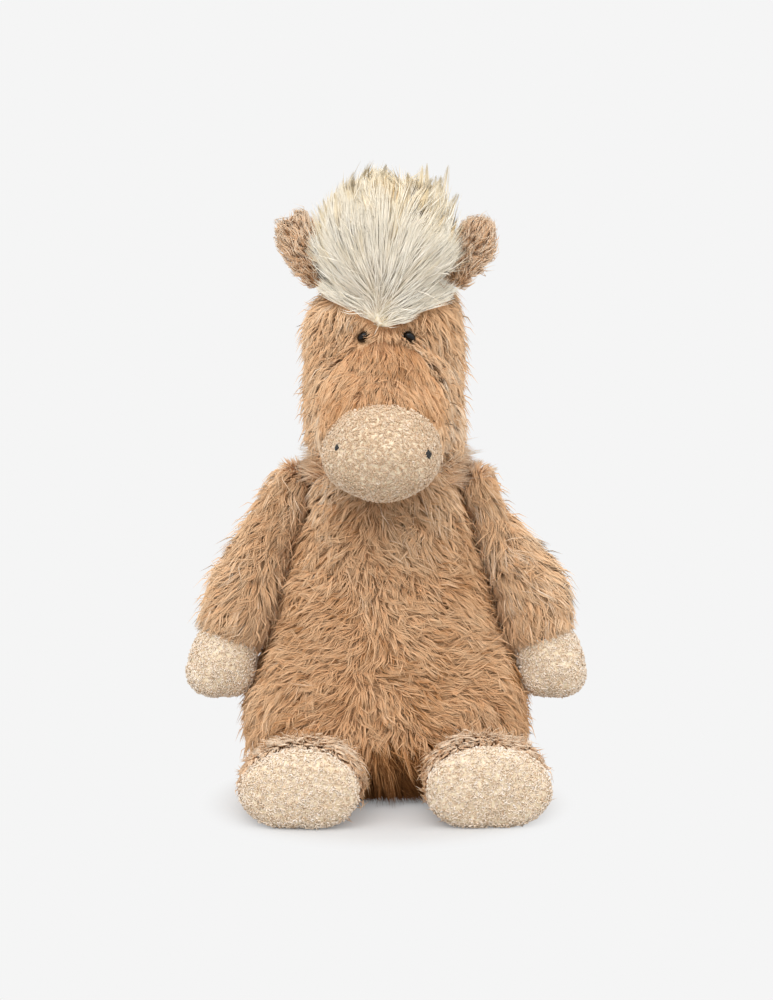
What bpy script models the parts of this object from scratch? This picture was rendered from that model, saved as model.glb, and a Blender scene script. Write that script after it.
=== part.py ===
"""A seated plush horse, modelled the way it is sewn.

Covers of long pile cloth and looped bouclé cloth are closed shells round fibre filling, a pouch of
pellets weighs down the seat, and the head and arms are held by rings of thread at their seams.
Metres, +Z up, the face looks along -Y, and the origin is the middle of the flat seat.
The horse's own left is at +X.
"""

import math

import bmesh
import bpy
from mathutils import Matrix, Vector
from mathutils.bvhtree import BVHTree

MM = 0.001

# Cloth and clearances
PILE_CLOTH = 4.5 * MM  # knitted backing with its long pile pressed flat
LOOP_CLOTH = 3.0 * MM  # bouclé cloth on the muzzle, hands and soles
BACKING = 1.2 * MM  # the knitted backing alone, under the pile
SEAM_GAP = 0.3 * MM  # between two pieces of cloth that are sewn edge to edge
FILL_GAP = 0.5 * MM  # between a cover and its filling
OVERRUN = 6.0 * MM  # how far a cutter runs past what it cuts
FLOOR_CUT = 0.5 * MM  # how far a soft form is pressed flat where it rests

# Thread of the hand-sewn seams
THREAD_RADIUS = 0.4 * MM
THREAD_GAP = 0.2 * MM
SHOULDER_GAP = 1.0 * MM  # leaves room for the thread round the touching point

# Body
NECK_HEIGHT = 146.0 * MM  # centre of the round neck dome
NECK_RADIUS = 33.0 * MM
BELLY_HALF_WIDTH = 67.5 * MM
BELLY_FRONT = 57.0 * MM
BELLY_BACK = 54.0 * MM
FLANK_FOOT_SIDE = 66.2 * MM  # where the straight flank under the arm runs into the belly
FLANK_FOOT_HEIGHT = 38.5 * MM
SEAT_SEAM_HEIGHT = 10.0 * MM
SEAT_HALF_WIDTH = 51.0 * MM
SEAT_FRONT = 41.0 * MM
SEAT_BACK = 40.0 * MM
BODY_SIDES = 28
DOME_STEPS = 5
SEAT_STEPS = 3
# Height share between the seat seam and the flank's foot, and share of the belly's half width
BELLY_SHARES = ((0.0, 0.920), (0.28, 0.976), (0.58, 1.000), (0.84, 0.994))
# Height share between the flank's foot and the neck dome
FLANK_SHARES = (0.0, 0.12, 0.29, 0.48, 0.68, 0.84, 1.0)
# Height share between the seat seam and the neck dome, then how much of the belly's front and back
# is there on top of the dome's edge
DEPTH_SHARES = (
    (0.0, 0.800, 0.800),
    (0.117, 1.000, 1.000),
    (0.275, 0.862, 0.930),
    (0.426, 0.685, 0.800),
    (0.585, 0.500, 0.610),
    (0.743, 0.272, 0.360),
    (0.873, 0.100, 0.140),
    (1.0, 0.0, 0.0),
)

# Pouch of pellets in the seat
POUCH_HALF_WIDTH = 42.0 * MM
POUCH_HALF_DEPTH = 33.0 * MM
POUCH_HEIGHT = 26.0 * MM
POUCH_STEPS = 4
POUCH_SIDES = 20

# Head
HEAD_RIM_OVER_NECK = 14.0 * MM  # over the centre of the neck dome
HEAD_TALL = 90.0 * MM
HEAD_RIM_HEIGHT = NECK_HEIGHT + HEAD_RIM_OVER_NECK
HEAD_TOP = HEAD_RIM_HEIGHT + HEAD_TALL
HEAD_HALF_WIDTH = 36.5 * MM
HEAD_FRONT = 34.0 * MM
HEAD_BACK = 37.0 * MM
HEAD_SIDES = 20
SOCKET_SIDES = 28
# Height between the rim and the top, then shares of the half width, front and back
HEAD_SHARES = (
    (0.0, 0.985, 1.000, 0.960),
    (0.19, 1.000, 1.015, 0.990),
    (0.46, 1.000, 1.015, 1.000),
    (0.74, 0.990, 0.980, 0.970),
    (0.86, 0.890, 0.880, 0.880),
    (0.94, 0.680, 0.690, 0.690),
    (0.985, 0.390, 0.400, 0.400),
    (1.0, 0.120, 0.120, 0.120),
)

# Snout and muzzle
SNOUT_ROOT_FORWARD = 6.0 * MM
SNOUT_ROOT_HALF_WIDTH = 32.0 * MM
SNOUT_ROOT_HALF_HEIGHT = 26.0 * MM
SNOUT_UNDER_CROWN = 24.0 * MM
SNOUT_ROOT_HEIGHT = HEAD_TOP - SNOUT_UNDER_CROWN - SNOUT_ROOT_HALF_HEIGHT
MUZZLE_SIDE = -2.0 * MM  # the muzzle sits a little to the horse's right
MUZZLE_FORWARD = 60.0 * MM
MUZZLE_OVER_RIM = 9.0 * MM
MUZZLE_HEIGHT = HEAD_RIM_HEIGHT + MUZZLE_OVER_RIM
MUZZLE_HALF_WIDTH = 28.0 * MM
MUZZLE_HALF_HEIGHT = 23.6 * MM
MUZZLE_LENGTH = 32.0 * MM
MUZZLE_SEAM_BACK = 7.0 * MM
MUZZLE_DROOP = math.radians(25)
MUZZLE_STEPS = 5
SNOUT_STEPS = 3

# Eyes and nostrils
EYE_SIDE = 12.0 * MM
EYE_UNDER_CROWN = 30.0 * MM
EYE_RADIUS = 3.5 * MM
EYE_DOME = 3.0 * MM
SHANK_RADIUS = 1.0 * MM
SHANK_PAST_WASHER = 2.0 * MM
WASHER_RADIUS = 4.2 * MM
WASHER_THICKNESS = 1.2 * MM
EYE_SIDES = 12
NOSTRIL_SIDE = 21.0 * MM
NOSTRIL_RISE = {"left": 1.0 * MM, "right": 4.0 * MM}  # over the middle of the muzzle
NOSTRIL_HALF_WIDTH = 1.3 * MM
NOSTRIL_HALF_LENGTH = 2.4 * MM
NOSTRIL_HALF_THICKNESS = 0.7 * MM
NOSTRIL_SIDES = 10

# Mane
MANE_CREST = 43.0 * MM  # how far the pile stands up over the crown
MANE_HALF_WIDTH = 33.5 * MM
MANE_SIDES = 18
MANE_NAPE_OVER_RIM = 24.0 * MM
MANE_FULLNESS = 0.62  # below 1, the fan stays wide up to its round top
# Places along the strip from the forelock to the nape: share of the head's front or back, height
# share between the nape and the head's top, half width share, crest share
MANE_SHARES = (
    (-1.00, 0.58, 0.05, 0.05),
    (-0.96, 0.72, 0.34, 0.20),
    (-0.80, 0.89, 0.76, 0.56),
    (-0.52, 0.98, 0.97, 0.87),
    (-0.24, 1.00, 1.00, 1.00),
    (-0.02, 1.00, 0.76, 1.00),
    (0.30, 1.00, 0.74, 0.96),
    (0.58, 0.94, 0.78, 0.84),
    (0.86, 0.72, 0.70, 0.58),
    (0.98, 0.42, 0.56, 0.38),
    (1.00, 0.12, 0.40, 0.24),
    (1.00, 0.00, 0.14, 0.08),
)

# Ears
EAR_ROOT_SIDE = 31.1 * MM
EAR_ROOT_BACK = 6.0 * MM
EAR_UNDER_CROWN = 9.8 * MM
EAR_LENGTH = {"left": 35.0 * MM, "right": 39.0 * MM}
EAR_HALF_WIDTH = 12.0 * MM
EAR_BACK_CLOTH = 4.2 * MM
EAR_LINING_CLOTH = 2.8 * MM
EAR_CURL = 3.0 * MM
EAR_LEAN = {"left": math.radians(26), "right": math.radians(24)}
EAR_SIDES = 12
# Length share, half width share and thickness share
EAR_SHARES = (
    (0.0, 0.34, 0.30),
    (0.03, 0.46, 0.66),
    (0.12, 0.60, 1.00),
    (0.32, 0.86, 1.00),
    (0.56, 1.00, 1.00),
    (0.78, 0.88, 1.00),
    (0.92, 0.60, 0.80),
    (1.0, 0.24, 0.35),
)

# Arms
SHOULDER_DOWN = 13.2 * MM  # from the top of the flank down to where the arm is sewn on
SHOULDER_RADIUS = 10.0 * MM
SHOULDER_SEAM_RADIUS = 4.0 * MM
ARM_SPREAD = math.radians(21.4)
ARM_FORWARD = math.radians(7)
ARM_TO_WRIST = 78.0 * MM
ARM_RADIUS = 16.0 * MM
ARM_BOW = 3.2 * MM  # how far the arm curves outwards
HAND_LENGTH = 31.0 * MM
HAND_RADIUS = 16.5 * MM
ARM_SIDES = 14
ARM_BALL_STEPS = 4
# Length share from shoulder to wrist, radius share between the shoulder and the full arm, and
# bow share
ARM_SHARES = (
    (0.0, 0.0, 0.0),
    (0.10, 0.07, 0.42),
    (0.23, 0.60, 0.80),
    (0.52, 0.93, 1.0),
    (0.78, 1.0, 0.80),
    (0.93, 0.86, 0.30),
    (1.0, 0.75, 0.10),
)
# Length share and radius share of a hand
HAND_SHARES = (
    (0.0, 0.875), (0.12, 0.960), (0.32, 1.0), (0.55, 0.985), (0.76, 0.86), (0.91, 0.62),
    (0.98, 0.34), (1.0, 0.12),
)

# Legs
HIP_SIDE = {"left": 45.0 * MM, "right": 38.0 * MM}
LEG_SPLAY = math.radians(4)
LEG_HALF_WIDTH = 28.0 * MM
LEG_HALF_HEIGHT = 18.5 * MM
HIP_LENGTH = 18.5 * MM  # the rounded back end, as long as the leg is half high
LEG_TO_SOLE = 27.0 * MM
SOLE_HALF_HEIGHT = 17.6 * MM
SOLE_BULGE = 12.0 * MM
LEG_SIDES = 18
LEG_STEPS = 5

# Tail
TAIL_ROOT_HEIGHT = 62.0 * MM
TAIL_ROOT_RADIUS = 6.0 * MM
TAIL_LENGTH = 52.0 * MM
TAIL_HALF_WIDTH = 13.0 * MM
TAIL_HALF_DEPTH = 8.0 * MM
TAIL_LEAN = math.radians(11)
TAIL_SIDES = 12
# Length share, width share and depth share of the tail's half sizes
TAIL_SHARES = (
    (0.0, 0.46, 0.75),
    (0.25, 0.72, 0.85),
    (0.55, 1.00, 1.00),
    (0.80, 0.86, 0.92),
    (0.94, 0.55, 0.62),
    (1.0, 0.20, 0.25),
)

# Colour, roughness and metallic value of each material
FINISHES = {
    "long_pile": ((0.53, 0.31, 0.16, 1.0), 0.95, 0.0),
    "looped_cloth": ((0.72, 0.58, 0.40, 1.0), 0.95, 0.0),
    "mane_pile": ((0.80, 0.70, 0.52, 1.0), 0.90, 0.0),
    "fibre": ((0.90, 0.90, 0.88, 1.0), 1.0, 0.0),
    "pouch_cloth": ((0.85, 0.84, 0.80, 1.0), 0.9, 0.0),
    "black_plastic": ((0.01, 0.01, 0.01, 1.0), 0.15, 0.0),
    "washer_plastic": ((0.85, 0.85, 0.82, 1.0), 0.45, 0.0),
    "black_thread": ((0.02, 0.02, 0.02, 1.0), 0.8, 0.0),
    "tan_thread": ((0.42, 0.25, 0.13, 1.0), 0.8, 0.0),
}

SIDES = {"left": 1, "right": -1}
NECK_CENTRE = Vector((0, 0, NECK_HEIGHT))
SOCKET_RADIUS = NECK_RADIUS + 2 * (THREAD_GAP + THREAD_RADIUS)


# Shaping tools


def material(name):
    """The named material, made once."""
    made = bpy.data.materials.get(name)
    if made is None:
        colour, rough, metal = FINISHES[name]
        made = bpy.data.materials.new(name)
        made.use_nodes = True
        shader = made.node_tree.nodes["Principled BSDF"]
        shader.inputs["Base Color"].default_value = colour
        shader.inputs["Roughness"].default_value = rough
        shader.inputs["Metallic"].default_value = metal
    return made


def new_object(name, shape, finish=None):
    """A linked object made from a bmesh, which is freed."""
    mesh = bpy.data.meshes.new(name)
    shape.to_mesh(mesh)
    shape.free()
    made = bpy.data.objects.new(name, mesh)
    bpy.context.scene.collection.objects.link(made)
    if finish:
        mesh.materials.append(material(finish))
    return made


def as_cutter(made):
    """Marks an object as a cutter, which isn't a piece of the toy."""
    made.hide_render = True
    made.display_type = "WIRE"
    return made


def between(low, high, share):
    return low + (high - low) * share


def oval(centre, across, deep, half_width, front, back, sides, curl=0.0):
    """Points of an oval: across and deep are its directions, and front is the half that lies
    against deep. curl bends both edges towards the front."""
    points = []
    for k in range(sides):
        angle = 2 * math.pi * k / sides
        u = math.cos(angle)
        v = math.sin(angle)
        reach = back * v if v > 0 else front * v
        points.append(centre + across * (half_width * u) + deep * (reach - curl * u * u))
    return points


def loft(rings, closed=False):
    """A bmesh skinned over rings of points. It has flat ends, or it meets itself where closed."""
    shape = bmesh.new()
    loops = [[shape.verts.new(point) for point in ring] for ring in rings]
    following = loops[1:] + loops[:1] if closed else loops[1:]
    for low, high in zip(loops, following):
        for k in range(len(low)):
            after = (k + 1) % len(low)
            shape.faces.new((low[k], low[after], high[after], high[k]))
    if not closed:
        shape.faces.new(list(reversed(loops[0])))
        shape.faces.new(loops[-1])
    bmesh.ops.recalc_face_normals(shape, faces=shape.faces)
    return shape


def apply_modifier(made, modifier):
    bpy.context.view_layer.objects.active = made
    for other in bpy.context.selected_objects:
        other.select_set(False)
    made.select_set(True)
    bpy.ops.object.modifier_apply(modifier=modifier.name)


def cover(name, outer, inner, finish):
    """A cover of cloth like a cup: its outer and inner rings both run from the tip to the rim."""
    return new_object(name, loft(outer + inner[::-1]), finish)


def combine(made, other, operation):
    """Applies a Boolean with another object and removes that object."""
    step = made.modifiers.new("step", "BOOLEAN")
    step.operation = operation
    step.object = as_cutter(other)
    apply_modifier(made, step)
    bpy.data.objects.remove(other)
    return made


def ball(name, centre, radius, steps):
    shape = bmesh.new()
    bmesh.ops.create_uvsphere(shape, u_segments=steps, v_segments=steps // 2, radius=radius)
    bmesh.ops.translate(shape, verts=shape.verts, vec=centre)
    return new_object(name, shape)


def block(name, low, high):
    shape = bmesh.new()
    bmesh.ops.create_cube(shape, size=1.0)
    size = Vector(high) - Vector(low)
    bmesh.ops.scale(shape, verts=shape.verts, vec=size)
    bmesh.ops.translate(shape, verts=shape.verts, vec=Vector(low) + size / 2)
    return new_object(name, shape)


def rod(name, place, radius, low, high, sides):
    """A cylinder along the local +Z of a placing matrix, from low to high."""
    up = Vector((0, 0, 1))
    rings = [
        oval(up * level, Vector((1, 0, 0)), Vector((0, 1, 0)), radius, radius, radius, sides)
        for level in (low, high)
    ]
    shape = loft(rings)
    bmesh.ops.transform(shape, matrix=place, verts=shape.verts)
    return new_object(name, shape)


def thread_ring(name, centre, axis, radius, steps, finish):
    """A closed ring of thread round an axis."""
    turn = axis.to_track_quat("Z", "Y").to_matrix()
    rings = []
    for k in range(steps):
        angle = 2 * math.pi * k / steps
        out = turn @ Vector((math.cos(angle), math.sin(angle), 0))
        rings.append(
            oval(
                centre + out * radius, out, axis.normalized(), THREAD_RADIUS, THREAD_RADIUS,
                THREAD_RADIUS, 6,
            )
        )
    return new_object(name, loft(rings, closed=True), finish)


def cut_flat(made):
    """Presses a soft form flat where it meets the surface that it rests on."""
    low = Vector((-1, -1, 0)) * (2 * BELLY_HALF_WIDTH + ARM_TO_WRIST)
    high = Vector((-low.x, -low.y, 0))
    low.z = -NECK_HEIGHT
    return combine(made, block("floor_cutter", low, high), "DIFFERENCE")


def facing(point, normal):
    """A matrix at a point whose local +Z is the normal."""
    turn = normal.to_track_quat("Z", "Y").to_matrix().to_4x4()
    return Matrix.Translation(point) @ turn


def seen_from_front(made, side, height):
    """Where a line along +Y first meets an object, and the surface's direction there."""
    tree = BVHTree.FromObject(made, bpy.context.evaluated_depsgraph_get())
    start = Vector((side, -MUZZLE_FORWARD - MUZZLE_LENGTH * 2, height))
    point, normal, _, _ = tree.ray_cast(start, Vector((0, 1, 0)))
    return point, normal


# Body


X_AXIS = Vector((1, 0, 0))
Y_AXIS = Vector((0, 1, 0))
Z_AXIS = Vector((0, 0, 1))


def level_oval(height, half_width, front, back):
    return oval(Z_AXIS * height, X_AXIS, Y_AXIS, half_width, front, back, BODY_SIDES)


def flank():
    """Slope of the flank, which leans in from its foot and touches the neck dome, and the height
    and half width where it touches."""
    rise = NECK_HEIGHT - FLANK_FOOT_HEIGHT
    away = math.hypot(FLANK_FOOT_SIDE, rise)
    slope = math.acos(NECK_RADIUS / away) - math.atan2(rise, FLANK_FOOT_SIDE)
    return slope, NECK_HEIGHT + NECK_RADIUS * math.sin(slope), NECK_RADIUS * math.cos(slope)


def read_shares(table, level, column):
    """A column of a table of shares, read at a level."""
    for low, high in zip(table, table[1:]):
        if level <= high[0]:
            share = (level - low[0]) / (high[0] - low[0])
            return between(low[column], high[column], share)
    return table[-1][column]


def depth_at(height, column, deepest):
    """How far the trunk reaches to its front (column 1) or back (column 2) at a height."""
    _, top, edge = flank()
    level = (height - SEAT_SEAM_HEIGHT) / (top - SEAT_SEAM_HEIGHT)
    return between(edge, deepest, read_shares(DEPTH_SHARES, level, column))


def trunk_ring(height, half_width, thinner):
    return level_oval(
        height,
        half_width - thinner,
        depth_at(height, 1, BELLY_FRONT) - thinner,
        depth_at(height, 2, BELLY_BACK) - thinner,
    )


def trunk_rings(thinner=0.0):
    """From the seat seam up the belly and the flanks and over the dome of the neck."""
    slope, top, edge = flank()
    rings = []
    for level, wide in BELLY_SHARES:
        height = between(SEAT_SEAM_HEIGHT, FLANK_FOOT_HEIGHT, level)
        rings.append(trunk_ring(height, BELLY_HALF_WIDTH * wide, thinner))
    for level in FLANK_SHARES:
        height = between(FLANK_FOOT_HEIGHT, top, level)
        rings.append(trunk_ring(height, between(FLANK_FOOT_SIDE, edge, level), thinner))
    dome = NECK_RADIUS - thinner
    for k in range(1, DOME_STEPS + 1):
        angle = slope + (math.pi / 2 - slope) * k / (DOME_STEPS + 0.5)
        radius = dome * math.cos(angle)
        rings.append(level_oval(NECK_HEIGHT + dome * math.sin(angle), radius, radius, radius))
    return rings


def seat_rings(thinner=0.0):
    """From the flat of the seat round its soft edge up to the seat seam."""
    seam = (
        BELLY_HALF_WIDTH * BELLY_SHARES[0][1],
        depth_at(SEAT_SEAM_HEIGHT, 1, BELLY_FRONT),
        depth_at(SEAT_SEAM_HEIGHT, 2, BELLY_BACK),
    )
    flat = (SEAT_HALF_WIDTH, SEAT_FRONT, SEAT_BACK)
    rings = []
    for k in range(SEAT_STEPS + 1):
        angle = math.pi / 2 * k / SEAT_STEPS
        sizes = [between(a, b, math.sin(angle)) - thinner for a, b in zip(flat, seam)]
        height = between(SEAT_SEAM_HEIGHT, thinner, math.cos(angle))
        rings.append(level_oval(height, *sizes))
    return rings


def lifted(ring, rise):
    return [point + Z_AXIS * rise for point in ring]


def make_body():
    trunk = trunk_rings()
    lining = trunk_rings(PILE_CLOTH)
    for rings in (trunk, lining):
        rings[0] = lifted(rings[0], SEAM_GAP)
    cover("body_cover", trunk[::-1], lining[::-1], "long_pile")
    cover("seat_panel", seat_rings(), seat_rings(PILE_CLOTH), "long_pile")
    inner = PILE_CLOTH + FILL_GAP
    filling = new_object("body_filling", loft(seat_rings(inner) + trunk_rings(inner)[1:]), "fibre")
    make_pouch(filling)


def pouch_rings(grown, bottom):
    """Rings of the pellet pouch, wider and higher by grown, with its flat underside at bottom."""
    floor = PILE_CLOTH + FILL_GAP
    rings = [
        oval(
            Z_AXIS * bottom, X_AXIS, Y_AXIS, POUCH_HALF_WIDTH + grown,
            POUCH_HALF_DEPTH + grown, POUCH_HALF_DEPTH + grown, POUCH_SIDES,
        )
    ]
    for k in range(POUCH_STEPS + 1):
        angle = math.pi / 2 * (k + 0.5) / (POUCH_STEPS + 1)
        share = math.cos(angle) ** 0.6
        depth = (POUCH_HALF_DEPTH + grown) * share
        rings.append(
            oval(
                Z_AXIS * (floor + (POUCH_HEIGHT + grown) * math.sin(angle)), X_AXIS, Y_AXIS,
                (POUCH_HALF_WIDTH + grown) * share, depth, depth, POUCH_SIDES,
            )
        )
    return rings


def make_pouch(filling):
    """The pouch lies on the seat panel, in a hollow of the filling."""
    floor = PILE_CLOTH + FILL_GAP
    new_object("pellet_pouch", loft(pouch_rings(0.0, floor)), "pouch_cloth")
    hollow = new_object("pouch_hollow", loft(pouch_rings(FILL_GAP, -OVERRUN)))
    combine(filling, hollow, "DIFFERENCE")


# Head


def skull_rings(thinner=0.0, lower=0.0):
    rings = []
    for level, wide, fore, aft in HEAD_SHARES:
        rings.append(
            oval(
                Z_AXIS * between(HEAD_RIM_HEIGHT, HEAD_TOP - thinner, level), X_AXIS, Y_AXIS,
                (HEAD_HALF_WIDTH - thinner) * wide, (HEAD_FRONT - thinner) * fore,
                (HEAD_BACK - thinner) * aft, HEAD_SIDES,
            )
        )
    rings[0] = lifted(rings[0], -lower)
    return rings


MUZZLE_CENTRE = Vector((MUZZLE_SIDE, -MUZZLE_FORWARD, MUZZLE_HEIGHT))
MUZZLE_AXIS = Vector((0, -math.cos(MUZZLE_DROOP), -math.sin(MUZZLE_DROOP)))
MUZZLE_UP = Vector((0, -math.sin(MUZZLE_DROOP), math.cos(MUZZLE_DROOP)))
MUZZLE_SEAM = MUZZLE_CENTRE - MUZZLE_AXIS * MUZZLE_SEAM_BACK


def snout_rings(thinner=0.0, longer=0.0):
    """From inside the skull down to the muzzle's seam."""
    root = Vector((0, -SNOUT_ROOT_FORWARD, SNOUT_ROOT_HEIGHT))
    rings = []
    for k in range(SNOUT_STEPS + 1):
        share = k / SNOUT_STEPS
        tilt = MUZZLE_DROOP + math.radians(12) * (1 - share)
        up = Vector((0, -math.sin(tilt), math.cos(tilt)))
        half_height = between(SNOUT_ROOT_HALF_HEIGHT, MUZZLE_HALF_HEIGHT, share) - thinner
        rings.append(
            oval(
                root.lerp(MUZZLE_SEAM, share), X_AXIS, up,
                between(SNOUT_ROOT_HALF_WIDTH, MUZZLE_HALF_WIDTH, share ** 1.6) - thinner,
                half_height, half_height, HEAD_SIDES,
            )
        )
    if longer:
        rings.append([point + MUZZLE_AXIS * longer for point in rings[-1]])
    return rings


def muzzle_rings(thinner=0.0, start=0.0):
    """From the muzzle's seam forward over its round end."""
    rings = []
    length = MUZZLE_LENGTH - thinner
    for k in range(MUZZLE_STEPS + 1):
        angle = math.pi / 2 * k / (MUZZLE_STEPS + 0.35)
        share = math.cos(angle) ** 0.85
        along = between(start, length, math.sin(angle)) if k else start
        half_height = (MUZZLE_HALF_HEIGHT - thinner) * share
        rings.append(
            oval(
                MUZZLE_SEAM + MUZZLE_AXIS * along, X_AXIS, MUZZLE_UP,
                (MUZZLE_HALF_WIDTH - thinner) * share, half_height, half_height, HEAD_SIDES,
            )
        )
    return rings


def head_form(name, thinner=0.0, longer=0.0, finish=None):
    """Skull and snout as one closed solid, moved in by thinner. longer takes it past the muzzle's
    seam and the neck's rim, for use as a cutter or a filling."""
    made = new_object(name, loft(skull_rings(thinner, longer)), finish)
    snout = new_object("snout_form", loft(snout_rings(thinner, longer)))
    return combine(made, snout, "UNION")


def cut_socket(made):
    """Cuts the hollow in which the head turns and nods on the dome of the neck."""
    radius = SOCKET_RADIUS / math.cos(math.pi / SOCKET_SIDES) ** 2
    return combine(made, ball("socket_cutter", NECK_CENTRE, radius, SOCKET_SIDES), "DIFFERENCE")


def make_head():
    skin = head_form("head_cover", finish="long_pile")
    face = head_form("face_form")
    combine(skin, head_form("head_hollow", PILE_CLOTH, OVERRUN), "DIFFERENCE")
    cut_socket(skin)

    muzzle = cover(
        "muzzle_cover", muzzle_rings(start=SEAM_GAP)[::-1],
        muzzle_rings(LOOP_CLOTH, SEAM_GAP)[::-1], "looped_cloth",
    )

    filling = head_form("head_filling", PILE_CLOTH + FILL_GAP, 2 * FILL_GAP, "fibre")
    front = new_object("muzzle_form", loft(muzzle_rings(LOOP_CLOTH + FILL_GAP, FILL_GAP)))
    combine(filling, front, "UNION")
    cut_socket(filling)

    for side, sign in SIDES.items():
        make_eye(side, sign, face, skin, filling)
        make_nostril(side, sign, muzzle)
    make_mane()
    bpy.data.objects.remove(face)


def eye_shape():
    """A domed eye on a shank, turned about its axis. The eye's flat back is at height zero."""
    shape = bmesh.new()
    shank = BACKING + SEAM_GAP + WASHER_THICKNESS + SHANK_PAST_WASHER
    profile = [Vector((0, 0, -shank)), Vector((SHANK_RADIUS, 0, -shank)), Vector((SHANK_RADIUS, 0, 0))]
    steps = 4
    for k in range(steps + 1):
        angle = math.pi / 2 * k / steps
        profile.append(Vector((EYE_RADIUS * math.cos(angle), 0, EYE_DOME * math.sin(angle))))
    points = [shape.verts.new(point) for point in profile]
    edges = [shape.edges.new(pair) for pair in zip(points, points[1:])]
    bmesh.ops.spin(
        shape, geom=points + edges, cent=Vector(), axis=Z_AXIS, angle=2 * math.pi,
        steps=EYE_SIDES, use_merge=True,
    )
    bmesh.ops.remove_doubles(shape, verts=shape.verts, dist=SEAM_GAP / 100)
    bmesh.ops.recalc_face_normals(shape, faces=shape.faces)
    return shape


def make_eye(side, sign, face, skin, filling):
    """The eye sits on the backing, deep in the pile, and a washer locks its shank inside."""
    point, normal = seen_from_front(face, sign * EYE_SIDE, HEAD_TOP - EYE_UNDER_CROWN)
    seat = facing(point - normal * (PILE_CLOTH - BACKING - SEAM_GAP), normal)
    shape = eye_shape()
    bmesh.ops.transform(shape, matrix=seat, verts=shape.verts)
    new_object(f"{side}_eye", shape, "black_plastic")

    behind = -(BACKING + 2 * SEAM_GAP)
    tail = behind - WASHER_THICKNESS - SHANK_PAST_WASHER - SEAM_GAP
    pocket = EYE_RADIUS + SEAM_GAP
    bore = SHANK_RADIUS + SEAM_GAP
    clear = WASHER_RADIUS + SEAM_GAP
    combine(skin, rod("eye_pocket", seat, pocket, -SEAM_GAP, OVERRUN, EYE_SIDES), "DIFFERENCE")
    combine(skin, rod("shank_hole", seat, bore, -OVERRUN, OVERRUN, EYE_SIDES), "DIFFERENCE")
    combine(
        skin, rod("washer_bed", seat, clear, -OVERRUN, behind + SEAM_GAP, EYE_SIDES), "DIFFERENCE"
    )
    combine(filling, rod("washer_hollow", seat, clear, tail, OVERRUN, EYE_SIDES), "DIFFERENCE")
    washer = rod(
        f"{side}_eye_washer", seat, WASHER_RADIUS, behind - WASHER_THICKNESS, behind, EYE_SIDES
    )
    washer.data.materials.append(material("washer_plastic"))
    combine(washer, rod("washer_hole", seat, bore, -OVERRUN, OVERRUN, EYE_SIDES), "DIFFERENCE")


def make_nostril(side, sign, muzzle):
    """A pad of satin stitches on the bouclé cloth."""
    point, normal = seen_from_front(
        muzzle, MUZZLE_SIDE + sign * NOSTRIL_SIDE, MUZZLE_HEIGHT + NOSTRIL_RISE[side]
    )
    place = facing(point + normal * (NOSTRIL_HALF_THICKNESS + SEAM_GAP), normal)
    shape = bmesh.new()
    bmesh.ops.create_uvsphere(
        shape, u_segments=NOSTRIL_SIDES, v_segments=NOSTRIL_SIDES // 2, radius=1.0
    )
    size = (NOSTRIL_HALF_WIDTH, NOSTRIL_HALF_LENGTH, NOSTRIL_HALF_THICKNESS)
    bmesh.ops.scale(shape, verts=shape.verts, vec=size)
    bmesh.ops.transform(shape, matrix=place, verts=shape.verts)
    new_object(f"{side}_nostril", shape, "black_thread")


def fan_ring(centre, out, half_width, tall):
    """Points of a slice of the mane, which stays wide up to a round top."""
    points = []
    for k in range(MANE_SIDES):
        angle = 2 * math.pi * k / MANE_SIDES
        u = math.cos(angle)
        v = math.sin(angle)
        reach = tall * v if v > 0 else PILE_CLOTH * v
        wide = math.copysign(abs(u) ** MANE_FULLNESS, u) if v > 0 else u
        points.append(centre + X_AXIS * (half_width * wide) + out * reach)
    return points


def make_mane():
    """A strip of very long pile from the forelock over the crown and down the nape."""
    path = []
    for forward, level, _, _ in MANE_SHARES:
        depth = HEAD_FRONT if forward < 0 else HEAD_BACK
        height = between(HEAD_RIM_HEIGHT + MANE_NAPE_OVER_RIM, HEAD_TOP, level)
        path.append(Vector((0, depth * forward, height)))
    rings = []
    for k, (_, _, wide, tall) in enumerate(MANE_SHARES):
        before = path[max(k - 1, 0)]
        after = path[min(k + 1, len(path) - 1)]
        out = X_AXIS.cross(after - before).normalized()
        crest = max(MANE_CREST * tall, PILE_CLOTH / 2)
        rings.append(fan_ring(path[k], out, MANE_HALF_WIDTH * wide, crest))
    mane = new_object("mane", loft(rings), "mane_pile")
    combine(mane, head_form("mane_bed", -SEAM_GAP), "DIFFERENCE")
    return mane


# Ears


def ear_root(side):
    return Vector((SIDES[side] * EAR_ROOT_SIDE, EAR_ROOT_BACK, HEAD_TOP - EAR_UNDER_CROWN))


def make_ears():
    for side, sign in SIDES.items():
        lean = EAR_LEAN[side]
        up = Vector((sign * math.sin(lean), 0, math.cos(lean)))
        across = Vector((math.cos(lean), 0, -sign * math.sin(lean)))
        root = ear_root(side)
        for part, thickness in (("cover", EAR_BACK_CLOTH), ("lining", EAR_LINING_CLOTH)):
            towards = 1 if part == "cover" else -1
            rings = []
            for level, wide, thick in EAR_SHARES:
                middle = root + up * (EAR_LENGTH[side] * level) + Y_AXIS * (towards * SEAM_GAP / 2)
                reach = thickness * thick
                rings.append(
                    oval(
                        middle, across, Y_AXIS, EAR_HALF_WIDTH * wide,
                        reach if towards < 0 else 0.0, reach if towards > 0 else 0.0, EAR_SIDES,
                        EAR_CURL * wide * min(1.0, level / EAR_SHARES[3][0]),
                    )
                )
            new_object(f"{side}_ear_{part}", loft(rings), "long_pile")


# Arms


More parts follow.
